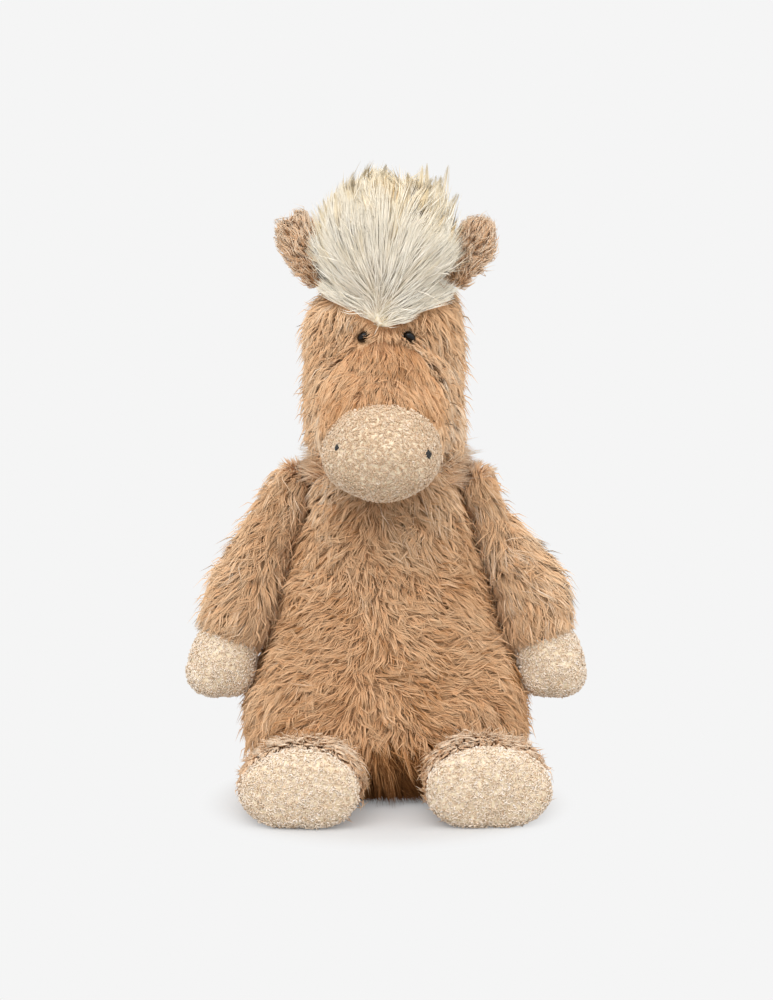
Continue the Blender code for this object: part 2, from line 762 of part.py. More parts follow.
def shoulder_of(side):
    """Where an arm is sewn to the flank, and the flank's direction there."""
    slope, top, edge = flank()
    sign = SIDES[side]
    normal = Vector((sign * math.cos(slope), 0, math.sin(slope)))
    down = Vector((sign * math.sin(slope), 0, -math.cos(slope)))
    return Vector((sign * edge, 0, top)) + down * SHOULDER_DOWN, normal


def shoulder_centre(side):
    """Centre of the ball at the top of an arm."""
    point, normal = shoulder_of(side)
    return point + normal * (SHOULDER_GAP + SHOULDER_RADIUS)


def arm_place(side):
    """Shoulder centre, then the directions to the hand, out from the body and to the back. The arm
    rests a little forward of straight down."""
    sign = SIDES[side]
    _, normal = shoulder_of(side)
    turn = Matrix.Rotation(-sign * ARM_FORWARD, 3, normal)
    down = Vector((sign * math.sin(ARM_SPREAD), 0, -math.cos(ARM_SPREAD)))
    out = Vector((sign * math.cos(ARM_SPREAD), 0, math.sin(ARM_SPREAD)))
    return shoulder_centre(side), turn @ down, turn @ out, turn @ Y_AXIS


def arm_ring(place, along, bow, radius):
    shoulder, down, out, back = place
    return oval(shoulder + down * along + out * bow, out, back, radius, radius, radius, ARM_SIDES)


def sleeve_rings(place, thinner=0.0):
    """From the ball of the shoulder down to the wrist."""
    rings = []
    radius = SHOULDER_RADIUS - thinner
    for k in range(ARM_BALL_STEPS):
        angle = math.pi / 2 * (1 - (k + 0.3) / (ARM_BALL_STEPS + 0.3))
        rings.append(arm_ring(place, -radius * math.sin(angle), 0.0, radius * math.cos(angle)))
    for along, full, bow in ARM_SHARES:
        radius = between(SHOULDER_RADIUS, ARM_RADIUS, full) - thinner
        rings.append(arm_ring(place, ARM_TO_WRIST * along, ARM_BOW * bow, radius))
    return rings


def hand_rings(place, thinner=0.0, start=0.0):
    """From the wrist over the round end of the hand."""
    rings = []
    for along, full in HAND_SHARES:
        reach = between(start, HAND_LENGTH - thinner, along)
        radius = (HAND_RADIUS - thinner) * full
        rings.append(arm_ring(place, ARM_TO_WRIST + reach, ARM_BOW * ARM_SHARES[-1][2], radius))
    return rings


def make_arms():
    for side in SIDES:
        place = arm_place(side)
        cover(
            f"{side}_arm_cover", sleeve_rings(place), sleeve_rings(place, PILE_CLOTH), "long_pile"
        )
        cover(
            f"{side}_hand_cover", hand_rings(place, start=SEAM_GAP)[::-1],
            hand_rings(place, LOOP_CLOTH, SEAM_GAP)[::-1], "looped_cloth",
        )
        sleeve = sleeve_rings(place, PILE_CLOTH + FILL_GAP)
        hand = hand_rings(place, LOOP_CLOTH + FILL_GAP, FILL_GAP + SEAM_GAP)
        new_object(f"{side}_arm_filling", loft(sleeve + hand), "fibre")
        point, normal = shoulder_of(side)
        sag = SHOULDER_RADIUS - math.sqrt(SHOULDER_RADIUS**2 - SHOULDER_SEAM_RADIUS**2)
        thread_ring(
            f"{side}_shoulder_seam", point + normal * (SHOULDER_GAP + sag) / 2, normal,
            SHOULDER_SEAM_RADIUS, 16, "tan_thread",
        )


# Legs


def leg_frame(side):
    """Hip centre and the directions along and across a leg."""
    sign = SIDES[side]
    along = Vector((sign * math.sin(LEG_SPLAY), -math.cos(LEG_SPLAY), 0))
    across = Vector((math.cos(LEG_SPLAY), sign * math.sin(LEG_SPLAY), 0))
    height = LEG_HALF_HEIGHT - FLOOR_CUT
    forward = hip_forward(HIP_SIDE[side], height)
    return Vector((sign * HIP_SIDE[side], -forward, height)), along, across


def belly_front(side_place, height):
    """How far forward the belly reaches above the seat seam, at a place across it."""
    level = (height - SEAT_SEAM_HEIGHT) / (FLANK_FOOT_HEIGHT - SEAT_SEAM_HEIGHT)
    half_width = BELLY_HALF_WIDTH * read_shares(BELLY_SHARES, level, 1)
    if abs(side_place) >= half_width:
        return 0.0
    return depth_at(height, 1, BELLY_FRONT) * math.sqrt(1 - (side_place / half_width) ** 2)


def hip_forward(side_place, hip_height):
    """How far forward a hip's centre lies. Its round end touches the belly as both are drawn
    here, and the flats of their faces leave a gap of a hair between them."""
    steps = 24
    needed = 0.0
    for i in range(1, steps):
        across = 2 * i / steps - 1
        for k in range(1, steps):
            above = 2 * k / steps - 1
            height = hip_height + LEG_HALF_HEIGHT * above
            left_over = 1 - across**2 - above**2
            if left_over <= 0 or height < SEAT_SEAM_HEIGHT:
                continue
            belly = belly_front(side_place + LEG_HALF_WIDTH * across, height)
            needed = max(needed, belly + HIP_LENGTH * math.sqrt(left_over))
    return needed


def leg_ring(frame, along, half_width, half_height):
    """A ring of the leg whose underside stays level with the ground."""
    hip, forward, across = frame
    centre = hip + forward * along
    return oval(centre, across, Z_AXIS, half_width, half_height, half_height, LEG_SIDES)


def leg_rings(frame, thinner=0.0):
    """From the round end at the hip to the sole's seam."""
    rings = []
    for k in range(LEG_STEPS):
        angle = math.pi / 2 * (1 - (k + 0.3) / (LEG_STEPS + 0.3))
        share = math.cos(angle)
        rings.append(
            leg_ring(
                frame, -(HIP_LENGTH - thinner) * math.sin(angle),
                (LEG_HALF_WIDTH - thinner) * share, (LEG_HALF_HEIGHT - thinner) * share,
            )
        )
    for along in (0.0, LEG_TO_SOLE / 2, LEG_TO_SOLE):
        rings.append(leg_ring(frame, along, LEG_HALF_WIDTH - thinner, LEG_HALF_HEIGHT - thinner))
    return rings


def sole_rings(frame, thinner=0.0, start=0.0):
    """The bulging sole at the end of a leg."""
    rings = []
    bulge = SOLE_BULGE - thinner
    for k in range(LEG_STEPS + 1):
        angle = math.pi / 2 * k / (LEG_STEPS + 0.4)
        share = math.cos(angle) ** 0.7
        along = between(start, bulge, math.sin(angle)) if k else start
        height = between(LEG_HALF_HEIGHT, SOLE_HALF_HEIGHT, min(1.0, 2 * along / SOLE_BULGE))
        rings.append(
            leg_ring(
                frame, LEG_TO_SOLE + along, (LEG_HALF_WIDTH - thinner) * share,
                (height - thinner) * share,
            )
        )
    return rings


def make_legs():
    for side in SIDES:
        frame = leg_frame(side)
        tube = cover(
            f"{side}_leg_cover", leg_rings(frame), leg_rings(frame, PILE_CLOTH), "long_pile"
        )
        sole = cover(
            f"{side}_sole", sole_rings(frame, start=SEAM_GAP)[::-1],
            sole_rings(frame, LOOP_CLOTH, SEAM_GAP)[::-1], "looped_cloth",
        )
        cut_flat(tube)
        cut_flat(sole)
        leg = leg_rings(frame, PILE_CLOTH + FILL_GAP)
        foot = sole_rings(frame, LOOP_CLOTH + FILL_GAP, FILL_GAP + SEAM_GAP)
        new_object(f"{side}_leg_filling", loft(leg + foot), "fibre")


# Tail


def tail_root():
    """Centre of the tail's round root, which touches the back of the body."""
    low = depth_at(TAIL_ROOT_HEIGHT - TAIL_ROOT_RADIUS, 2, BELLY_BACK)
    here = depth_at(TAIL_ROOT_HEIGHT, 2, BELLY_BACK)
    away = (TAIL_ROOT_RADIUS + SEAM_GAP) * math.hypot(1, (low - here) / TAIL_ROOT_RADIUS)
    return Vector((0, here + away, TAIL_ROOT_HEIGHT))


def make_tail():
    root = tail_root()
    down = Vector((0, math.sin(TAIL_LEAN), -math.cos(TAIL_LEAN)))
    out = Vector((0, math.cos(TAIL_LEAN), math.sin(TAIL_LEAN)))
    rings = []
    for k in range(3):
        angle = math.pi / 2 * (1 - (k + 0.4) / 3.4)
        radius = TAIL_ROOT_RADIUS * math.cos(angle)
        rings.append(
            oval(
                root - down * (TAIL_ROOT_RADIUS * math.sin(angle)), X_AXIS, out, radius,
                radius, radius, TAIL_SIDES,
            )
        )
    for level, wide, deep in TAIL_SHARES:
        depth = TAIL_HALF_DEPTH * deep
        inner = min(depth, TAIL_ROOT_RADIUS)
        rings.append(
            oval(
                root + down * (TAIL_LENGTH * level), X_AXIS, out, TAIL_HALF_WIDTH * wide,
                inner, depth, TAIL_SIDES,
            )
        )
    new_object("tail", loft(rings), "mane_pile")


# Assembly


def make_neck_seam():
    """A ring of thread in the gap between the dome of the neck and the head's socket."""
    radius = NECK_RADIUS + THREAD_GAP + THREAD_RADIUS
    height = HEAD_RIM_OVER_NECK + 2 * THREAD_RADIUS
    across = math.sqrt(radius**2 - height**2)
    thread_ring("neck_seam", NECK_CENTRE + Z_AXIS * height, Z_AXIS, across, 32, "tan_thread")


def hang(name, place, pieces, parent=None):
    """Hangs pieces, and their joint's axis, from an empty at the middle of the joint."""
    pivot = bpy.data.objects.new(name, None)
    bpy.context.scene.collection.objects.link(pivot)
    pivot.empty_display_size = SHOULDER_RADIUS
    pivot.location = place
    if parent:
        pivot.parent = parent
        pivot.location = place - parent.location
    for piece in pieces:
        made = bpy.data.objects[piece]
        made.data.transform(Matrix.Translation(-place))
        made.parent = pivot
    return pivot


def make_joints():
    face = ["eye", "eye_washer", "nostril"]
    head = ["neck_seam", "head_cover", "head_filling", "muzzle_cover", "mane"]
    head += [f"{side}_{piece}" for side in SIDES for piece in face]
    neck = hang("neck_joint", NECK_CENTRE, head)
    for side in SIDES:
        hang(f"{side}_ear_joint", ear_root(side), [f"{side}_ear_cover", f"{side}_ear_lining"], neck)
        hang(
            f"{side}_shoulder_joint", shoulder_centre(side),
            [f"{side}_{piece}" for piece in ("shoulder_seam", "arm_cover", "arm_filling", "hand_cover")],
        )
        hang(
            f"{side}_hip_joint", leg_frame(side)[0],
            [f"{side}_{piece}" for piece in ("leg_cover", "leg_filling", "sole")],
        )
    hang("tail_joint", tail_root(), ["tail"])


def main():
    for old in list(bpy.data.objects):
        bpy.data.objects.remove(old)
    make_body()
    make_neck_seam()
    make_head()
    make_ears()
    make_arms()
    make_legs()
    make_tail()
    make_joints()
    for made in bpy.data.objects:
        if made.type == "MESH":
            made.data.shade_smooth()
            made.data.set_sharp_from_angle(angle=math.radians(50))


main()
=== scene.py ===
"""A seated plush horse: long pile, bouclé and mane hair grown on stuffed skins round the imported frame."""

import logging
import math
from collections.abc import Callable, Iterator
from contextlib import contextmanager
from dataclasses import dataclass, field, replace
from enum import Enum
from functools import partial
from typing import Any

import bpy
import numpy as np
from mathutils import Matrix, Vector
from mathutils.bvhtree import BVHTree
from mathutils.kdtree import KDTree


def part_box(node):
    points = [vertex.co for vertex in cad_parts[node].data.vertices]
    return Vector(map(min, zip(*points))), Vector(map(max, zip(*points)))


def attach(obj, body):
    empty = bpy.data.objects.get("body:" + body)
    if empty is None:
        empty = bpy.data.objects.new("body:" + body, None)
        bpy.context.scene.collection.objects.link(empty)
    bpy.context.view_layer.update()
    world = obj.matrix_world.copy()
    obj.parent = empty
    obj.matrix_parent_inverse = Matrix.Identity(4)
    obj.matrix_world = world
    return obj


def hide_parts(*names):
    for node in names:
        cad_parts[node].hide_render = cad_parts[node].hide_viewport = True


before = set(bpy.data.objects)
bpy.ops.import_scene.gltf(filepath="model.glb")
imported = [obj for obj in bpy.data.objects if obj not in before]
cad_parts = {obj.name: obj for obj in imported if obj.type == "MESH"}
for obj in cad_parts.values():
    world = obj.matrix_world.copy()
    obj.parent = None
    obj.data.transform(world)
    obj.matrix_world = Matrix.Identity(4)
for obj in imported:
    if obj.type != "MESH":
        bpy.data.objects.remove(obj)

log = logging.getLogger("plush_horse")

Array = np.ndarray
Field = Callable[[Array], Array]  # places in millimetres in, a value or a direction for each out
Tree = bpy.types.NodeTree
Stops = tuple[tuple[float, str], ...]

MM = 0.001
PILE_MAP = "OFBake"  # u picks a strand's tone, v runs from its root to its tip
TONES = 64  # tones that a pile map holds side by side
PALEST = 0.999  # the highest tone
SKIN_LIFT = 0.4  # mm that skins and loops keep above the floor
PILE_LIFT = 0.35  # mm that strands keep above the floor
ROOT_DEPTH = 0.3  # mm that roots sit under the skin
SEAM_GAP = 0.2  # mm from a sewn-on piece within which no pile grows


class Side(Enum):
    """The horse's own sides. The value is the sign of X there."""

    LEFT = 1
    RIGHT = -1

    @property
    def word(self) -> str:
        """The side's name as the frame's nodes and bodies spell it."""
        return self.name.lower()


# Colour and nodes


def linear(code: str) -> tuple[float, float, float, float]:
    """Turns an sRGB hex colour to linear RGBA.

    Args:
        code: A colour such as "#C79A6E".

    Returns:
        Red, green, blue and an alpha of one.
    """
    parts = [int(code[k : k + 2], 16) / 255 for k in (1, 3, 5)]
    red, green, blue = (v / 12.92 if v <= 0.04045 else ((v + 0.055) / 1.055) ** 2.4 for v in parts)
    return red, green, blue, 1.0


def add_node(
    tree: Tree, kind: str, inputs: dict[Any, Any] | None = None, stops: Stops = (), **settings: Any
) -> bpy.types.Node:
    """Adds one shader node with its settings and links.

    Args:
        tree: The node tree that gets the node.
        kind: The node's type, without the words that all shader nodes share.
        inputs: Input name or number, and the value, socket or node that goes in.
        stops: Places and hex colours of a colour ramp.
        **settings: Properties of the node itself.

    Returns:
        The new node.
    """
    made = tree.nodes.new(f"ShaderNode{kind}")
    for name, value in settings.items():
        setattr(made, name, value)
    for k, (place, code) in enumerate(stops):
        steps = made.color_ramp.elements
        stop = steps[k] if k < 2 else steps.new(place)
        stop.position, stop.color = place, linear(code)
    for name, value in (inputs or {}).items():
        if isinstance(value, bpy.types.Node):
            value = value.outputs[0]
        if isinstance(value, bpy.types.NodeSocket):
            tree.links.new(value, made.inputs[name])
        else:
            made.inputs[name].default_value = value
    return made


def fresh_material(name: str) -> tuple[bpy.types.Material, Tree]:
    """An empty material of that name, and its node tree."""
    made = bpy.data.materials.new(name)
    made.use_nodes = True
    made.node_tree.nodes.clear()
    return made, made.node_tree


def own_place(tree: Tree) -> bpy.types.NodeSocket:
    """A place in its object's own metres."""
    return add_node(tree, "TexCoord").outputs["Object"]


@dataclass(frozen=True)
class Finish:
    """What each finish has: a name in a maker's words and a slot."""

    name: str
    slot: str

    def look(self, tree: Tree) -> dict[str, Any]:
        """The inputs of the shader."""
        raise NotImplementedError

    def material(self) -> bpy.types.Material:
        """Makes the material."""
        made, tree = fresh_material(self.name)
        add_node(tree, "OutputMaterial", {0: add_node(tree, "BsdfPrincipled", self.look(tree))})
        return made


@dataclass(frozen=True)
class PileFinish(Finish):
    """Polyester pile, each strand darker at its root and a tone of its own.

    Polyester fibre is rough at this scale, with a soft sheen where light grazes it.
    """

    tones: Stops
    along: Stops
    roughness: float = 0.9

    def look(self, tree: Tree) -> dict[str, Any]:
        """Reads only the pile map."""
        parts = add_node(tree, "SeparateXYZ", {0: add_node(tree, "UVMap", uv_map=PILE_MAP)})
        scaled = add_node(tree, "Math", {0: parts, 1: TONES}, operation="MULTIPLY")
        column = add_node(tree, "Math", {0: scaled}, operation="FLOOR")
        tone = add_node(tree, "Math", {0: column, 1: TONES - 1}, operation="DIVIDE")
        own = add_node(tree, "ValToRGB", {0: tone}, self.tones)
        root = add_node(tree, "ValToRGB", {0: parts.outputs[1]}, self.along)
        colour = add_node(tree, "Mix", {0: 1.0, 6: own, 7: root}, data_type="RGBA", blend_type="MULTIPLY")
        return {
            "Base Color": colour.outputs[2], "Roughness": self.roughness, "Sheen Weight": 0.03,
            "Sheen Roughness": 0.5, "Specular IOR Level": 0.04,
        }


@dataclass(frozen=True)
class TwoToneFinish(Finish):
    """A finish that runs from a dark to a light tone over its own places."""

    dark: str
    light: str

    def tone(self, tree: Tree, share: bpy.types.Node, low: float, high: float) -> bpy.types.Node:
        """The colour, dark up to a low share and light from a high one."""
        return add_node(tree, "ValToRGB", {0: share}, ((low, self.dark), (high, self.light)))


@dataclass(frozen=True)
class BackingFinish(TwoToneFinish):
    """Knitted polyester backing under the pile: matt, with loops about 1.1 mm apart."""

    stitch_mm: float = 1.1

    def look(self, tree: Tree) -> dict[str, Any]:
        """Loops of yarn, with cloudy soil and wear over them."""
        place = own_place(tree)
        loops = add_node(tree, "TexVoronoi", {"Vector": place, "Scale": 1 / (self.stitch_mm * MM)})
        cloud = add_node(tree, "TexNoise", {"Vector": place, "Scale": 1 / (9 * MM), "Detail": 3.0})
        both = add_node(tree, "Math", {0: loops, 1: cloud}, operation="MULTIPLY")
        bump = add_node(tree, "Bump", {"Height": loops, "Distance": 0.3 * MM, "Strength": 0.6})
        return {
            "Base Color": self.tone(tree, both, 0.05, 0.45), "Normal": bump, "Roughness": 0.95,
            "Specular IOR Level": 0.1,
        }


@dataclass(frozen=True)
class GlossFinish(TwoToneFinish):
    """Moulded acrylic for the eyes or matt polypropylene for a washer, with faint mould marks."""

    smooth: float
    rough: float

    def look(self, tree: Tree) -> dict[str, Any]:
        """A cloud that varies tone and gloss a little."""
        cloud = add_node(tree, "TexNoise", {"Vector": own_place(tree), "Scale": 1 / (2 * MM), "Detail": 4.0})
        rough = add_node(tree, "MapRange", {0: cloud, 3: self.smooth, 4: self.rough})
        return {"Base Color": self.tone(tree, cloud, 0.3, 0.7), "Roughness": rough, "IOR": 1.38}


@dataclass(frozen=True)
class ThreadFinish(TwoToneFinish):
    """Twisted polyester thread: satin, its twist showing as fine slanted bands."""

    twist_mm: float = 0.5

    def look(self, tree: Tree) -> dict[str, Any]:
        """Slanted bands, one for each twist."""
        scale = 1 / (self.twist_mm * MM) / 20 * 3.14
        twist = add_node(
            tree, "TexWave", {"Vector": own_place(tree), "Scale": scale, "Distortion": 0.6},
            bands_direction="DIAGONAL",
        )
        bump = add_node(tree, "Bump", {"Height": twist, "Distance": 0.1 * MM, "Strength": 0.7})
        return {
            "Base Color": self.tone(tree, twist, 0.1, 0.9), "Normal": bump, "Roughness": 0.5,
            "Sheen Weight": 0.2,
        }


class Cloth(Enum):
    """The finishes that the horse is made of."""

    FUR = PileFinish(
        "long_tan_pile", "long_pile",
        # The darkest stops serve the painted shade in the creases and between the feet.
        ((0.0, "#6E4828"), (0.22, "#C08D5E"), (0.5, "#E6BA90"), (0.78, "#F0CBA4"), (1.0, "#FCE8D0")),
        ((0.0, "#DCD0C6"), (0.5, "#F6F1EC"), (1.0, "#FFFFFF")),
    )
    BOUCLE = PileFinish(
        "cream_boucle_loops", "looped_cloth",
        ((0.0, "#E0C5A8"), (0.4, "#F0DEC9"), (0.75, "#F8EBDC"), (1.0, "#FDF5EE")),
        # Painted shade: both ends of a loop are darker, where it goes into the backing.
        ((0.0, "#E4D4C0"), (0.3, "#FFFFFF"), (0.8, "#FFFFFF"), (1.0, "#E6D8C4")),
    )
    HAIR = PileFinish(
        "long_straight_mane_pile", "mane_pile",
        ((0.0, "#E2BE88"), (0.25, "#F4E3C0"), (0.5, "#FBF0DC"), (1.0, "#FFFAEE")),
        ((0.0, "#FAF6F0"), (0.5, "#FFFFFF"), (1.0, "#FFFCF4")),
        roughness=0.7,
    )
    FUR_BACKING = BackingFinish("tan_knitted_backing", "long_pile", "#B88A60", "#DDB48C")
    LOOP_BACKING = BackingFinish("cream_woven_backing", "looped_cloth", "#DCC8A8", "#F2E4CC", 1.6)
    HAIR_BACKING = BackingFinish("pale_knitted_backing", "mane_pile", "#DCCCA8", "#F2E9D6")
    EYE = GlossFinish("black_acrylic", "black_plastic", "#040303", "#080706", 0.08, 0.14)
    WASHER = GlossFinish("white_polypropylene", "washer_plastic", "#DAD8D0", "#E8E6DF", 0.45, 0.6)
    NOSTRIL = ThreadFinish("black_embroidery_thread", "black_thread", "#040303", "#12100E")
    SEAM = ThreadFinish("tan_sewing_thread", "tan_thread", "#7E5A38", "#B58A5E", 0.6)

    def material(self) -> bpy.types.Material:
        """The finish's material, made once."""
        return bpy.data.materials.get(self.value.name) or self.value.material()


def finish_piece(made: bpy.types.Object, cloth: Cloth, body: str, *nodes: str) -> None:
    """Gives a piece its finish, its body and the nodes that it stands for.

    Args:
        made: The finished piece.
        cloth: Its finish.
        body: The body of the frame that it rides on.
        *nodes: Nodes of the frame that it replaces.
    """
    made.data.materials.clear()
    made.data.materials.append(cloth.material())
    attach(made, body)
    if nodes:
        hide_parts(*nodes)
    log.info("%s: %d faces on %s", made.name, len(made.data.polygons), body)


# Places and directions, as rows in millimetres


def unit(vectors: Array) -> Array:
    """Vectors of the same directions, one long."""
    return vectors / np.maximum(np.linalg.norm(vectors, axis=-1, keepdims=True), 1e-9)


def far_from(points: Array, place: Any) -> Array:
    """How far points lie from a place."""
    return np.linalg.norm(points - np.array(place), axis=1)


def along_skin(directions: Array, normals: Array) -> Array:
    """Directions laid flat on a skin with those normals."""
    return unit(directions - normals * (directions * normals).sum(-1, keepdims=True))


def turned(directions: Array, normals: Array, angles: Array) -> Array:
    """Directions turned about their normals by angles in radians."""
    across = np.cross(normals, directions)
    return directions * np.cos(angles)[:, None] + across * np.sin(angles)[:, None]


def ways(*parts: Any) -> Array:
    """Directions from their parts along X, Y and Z, each a number or a row of them."""
    return np.stack(np.broadcast_arrays(*parts), axis=1)


def rise(values: Array, start: float, span: float, least: float = 0.0, most: float = 1.0) -> Array:
    """Rises from 0 at the start by 1 for each span, held between least and most."""
    return np.clip((values - start) / span, least, most)


def hump(values: Array, middle: float, wide: float) -> Array:
    """Falls from 1 at the middle to nearly 0 at twice its width."""
    return np.exp(-(((values - middle) / wide) ** 2))


def drift(points: Array, size: float, seed: int) -> Array:
    """Slow noise from about -1 to 1.

    Args:
        points: Places in millimetres.
        size: How far apart its lumps lie, in millimetres.
        seed: Which noise.

    Returns:
        One value for each place.
    """
    rng = np.random.default_rng(seed)
    waves = unit(rng.normal(size=(7, 3))) / (size * rng.uniform(0.7, 1.6, (7, 1)))
    return np.sin(points @ waves.T * 2 * math.pi + rng.uniform(0, 6.28, 7)).sum(1) / 3.2


def rows(items: Any, name: str, kind: type = np.float32) -> Array:
    """Three numbers of each of a mesh's items."""
    values = np.empty(len(items) * 3, kind)
    items.foreach_get(name, values)
    return values.reshape(-1, 3)


def node_points(node: str) -> Array:
    """The points of one of the frame's nodes."""
    return rows(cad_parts[node].data.vertices, "co").astype(float) / MM


def node_box(node: str) -> tuple[Array, Array]:
    """The lowest and the highest corner of one of the frame's nodes."""
    low, high = (np.array(c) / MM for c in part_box(node))
    return low, high


def on_disc(points: Array, node: str) -> tuple[Array, Array, Array]:
    """Places on a node's round end.

    Args:
        points: Places in millimetres.
        node: The node.

    Returns:
        How high they lie and how far out, both 1 at the rim, and how near to a corner, 1 at 45 degrees.
    """
    near, far = node_box(node)
    x, _, z = ((2 * points - near - far) / (far - near)).T
    return z, np.hypot(x, z), 2 * abs(x * z) / np.maximum(x * x + z * z, 1e-6)


@contextmanager
def editing() -> Iterator[None]:
    """Opens the active object's mesh with all of it selected, and closes it again."""
    bpy.ops.object.mode_set(mode="EDIT")
    bpy.ops.mesh.select_all(action="SELECT")
    yield
    bpy.ops.object.mode_set(mode="OBJECT")


# Skins


class Surface:
    """A skin as arrays in millimetres, on which pile is rooted."""

    def __init__(self, made: bpy.types.Object, body: str = "") -> None:
        """Reads a skin, and keeps the name of the body that it rides on."""
        self.body, mesh = body, made.data
        mesh.calc_loop_triangles()
        self.points = rows(mesh.vertices, "co").astype(float) / MM
        self.normals = rows(mesh.vertex_normals, "vector").astype(float)
        self.corners = rows(mesh.loop_triangles, "vertices", np.int32)
        self.tree = BVHTree.FromPolygons(self.points.tolist(), self.corners.tolist())

    def roots(self, density: float, rng: np.random.Generator) -> tuple[Array, Array]:
        """Spreads roots evenly over the skin.

        Args:
            density: Roots for each square millimetre.
            rng: The piece's own random numbers.

        Returns:
            Places and unit normals.
        """
        a, b, c = (self.points[self.corners[:, k]] for k in range(3))
        area = np.linalg.norm(np.cross(b - a, c - a), axis=1) / 2
        total = int(area.sum() * density)
        at = (np.arange(total) + rng.random(total)) / total * area.sum()
        index = np.minimum(np.searchsorted(np.cumsum(area), at), len(area) - 1)
        u, v = rng.random((2, total))
        u, v = np.where(u + v > 1, (1 - u, 1 - v), (u, v))
        return self.mixed(index, np.stack([1 - u - v, u, v], axis=1))

    def mixed(self, index: Array, share: Array) -> tuple[Array, Array]:
        """Places and smooth normals inside triangles, from shares of their corners."""
        held = self.corners[index]
        places = (self.points[held] * share[:, :, None]).sum(1)
        return places, unit((self.normals[held] * share[:, :, None]).sum(1))

    def settle(self, points: Array) -> tuple[Array, Array]:
        """Moves points to the nearest places on the skin.

        Args:
            points: Places near the skin.

        Returns:
            Places on it and the smooth normals there.
        """
        index = np.array([self.tree.find_nearest(p)[2] for p in points.tolist()], int)
        a, b, c = (self.points[self.corners[index, k]] for k in range(3))
        ab, ac, ap = b - a, c - a, points - a
        d00, d01, d11 = (ab * ab).sum(1), (ab * ac).sum(1), (ac * ac).sum(1)
        d20, d21 = (ap * ab).sum(1), (ap * ac).sum(1)
        scale = np.maximum(d00 * d11 - d01 * d01, 1e-12)
        v, w = (d11 * d20 - d01 * d21) / scale, (d00 * d21 - d01 * d20) / scale
        share = np.clip(np.stack([1 - v - w, v, w], axis=1), 0, 1)
        return self.mixed(index, share / share.sum(1, keepdims=True))

    def gap(self, points: Array) -> Array:
        """How far points lie outside the skin, below zero inside it."""
        places, normals = self.settle(points)
        off = points - places
        far = np.linalg.norm(off, axis=1)
        return np.where((off * normals).sum(1) < -0.5 * far, -far, far)

    def covers(self, points: Array, directions: Array, reach: float) -> Array:
        """Whether this skin lies over points, seen along their directions within a reach."""
        pairs = zip(points.tolist(), directions.tolist())
        return np.array([self.tree.ray_cast(p, way, reach)[0] is not None for p, way in pairs])


@dataclass
class Skin:
    """A stuffed piece's own surface, made from the nodes that it stands for."""

    name: str
    nodes: list[str]
    body: str
    inset: float  # mm from the node's face in to the backing
    cloth: Cloth = Cloth.FUR_BACKING
    voxel: float = 2.0
    hull: bool = False
    fill: float | None = 0.6
    lumps: float = 0.5  # mm that the filling pushes the cloth in and out
    press: Field | None = None  # mm more inwards at a place
    give: float = 2.0  # mm that the filling may push the cloth out
    made: bpy.types.Object = field(init=False)

    def joined(self) -> bpy.types.Object:
        """Copies the nodes into one object with merged points."""
        bpy.ops.object.select_all(action="DESELECT")
        for node in self.nodes:
            copy = bpy.data.objects.new(self.name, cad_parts[node].data.copy())
            bpy.context.scene.collection.objects.link(copy)
            copy.select_set(True)
            bpy.context.view_layer.objects.active = copy
        if len(self.nodes) > 1:
            bpy.ops.object.join()
        made = bpy.context.view_layer.objects.active
        made.name = made.data.name = self.name
        with editing():
            bpy.ops.mesh.remove_doubles(threshold=0.01 * MM)
            if self.hull:
                bpy.ops.mesh.convex_hull()
        return made

    def keep_outside(self) -> None:
        """Takes away the walls of hollows that the remesh leaves inside."""
        with editing():
            bpy.ops.mesh.separate(type="LOOSE")
        parts = list(bpy.context.selected_objects)
        self.made = max(parts, key=lambda part: part.dimensions.length)
        for part in parts:
            if part is not self.made:
                bpy.data.objects.remove(part)
        self.made.name = self.made.data.name = self.name
        bpy.context.view_layer.objects.active = self.made

    def change(self, kind: str, **settings: Any) -> None:
        """Applies a modifier with these settings."""
        modifier = self.made.modifiers.new(kind, kind)
        for name, value in settings.items():
            setattr(modifier, name, value)
        bpy.ops.object.modifier_apply(modifier=kind)

    def stuff(self) -> None:
        """Lets the filling swell the cloth, by no more than it gives."""
        before, steps = Surface(self.made).points, 12
        cloth = self.made.modifiers.new("filling", "CLOTH")
        cloth.settings.use_pressure = True
        cloth.settings.uniform_pressure_force = 4.0
        cloth.settings.effector_weights.gravity = 0
        cloth.settings.quality = 3
        cloth.point_cache.frame_start, cloth.point_cache.frame_end = 1, steps
        for step in range(1, steps + 1):
            bpy.context.scene.frame_set(step)
        bpy.ops.object.modifier_apply(modifier="filling")
        bpy.context.scene.frame_set(1)
        move = Surface(self.made).points - before
        far = np.maximum(np.linalg.norm(move, axis=1, keepdims=True), 1e-9)
        log.info("%s: filling moves the cloth by up to %.1f mm", self.name, far.max())
        self.place(before + move * np.minimum(1, self.give / far))

    def place(self, points: Array) -> None:
        """Moves the skin's points, in millimetres, and keeps them off the floor."""
        points[:, 2] = np.maximum(points[:, 2], SKIN_LIFT)
        self.made.data.vertices.foreach_set("co", (points * MM).astype(np.float32).ravel())
        self.made.data.update()

    def build(self) -> Surface:
        """Remeshes the joined nodes into one soft closed form and finishes it.

        Returns:
            The skin's surface, for its pile.
        """
        self.made = self.joined()
        self.change("REMESH", mode="VOXEL", voxel_size=self.voxel * MM)
        self.keep_outside()
        self.change("SMOOTH", factor=0.5, iterations=6)
        surface = Surface(self.made)
        lump = drift(surface.points, 26.0, len(self.name)) * self.lumps
        if self.press:
            lump = lump - self.press(surface.points)
        self.place(surface.points + surface.normals * (lump - self.inset)[:, None])
        if self.fill is not None:
            self.stuff()
        bpy.ops.object.shade_smooth()
        finish_piece(self.made, self.cloth, self.body, *self.nodes)
        return Surface(self.made, self.body)


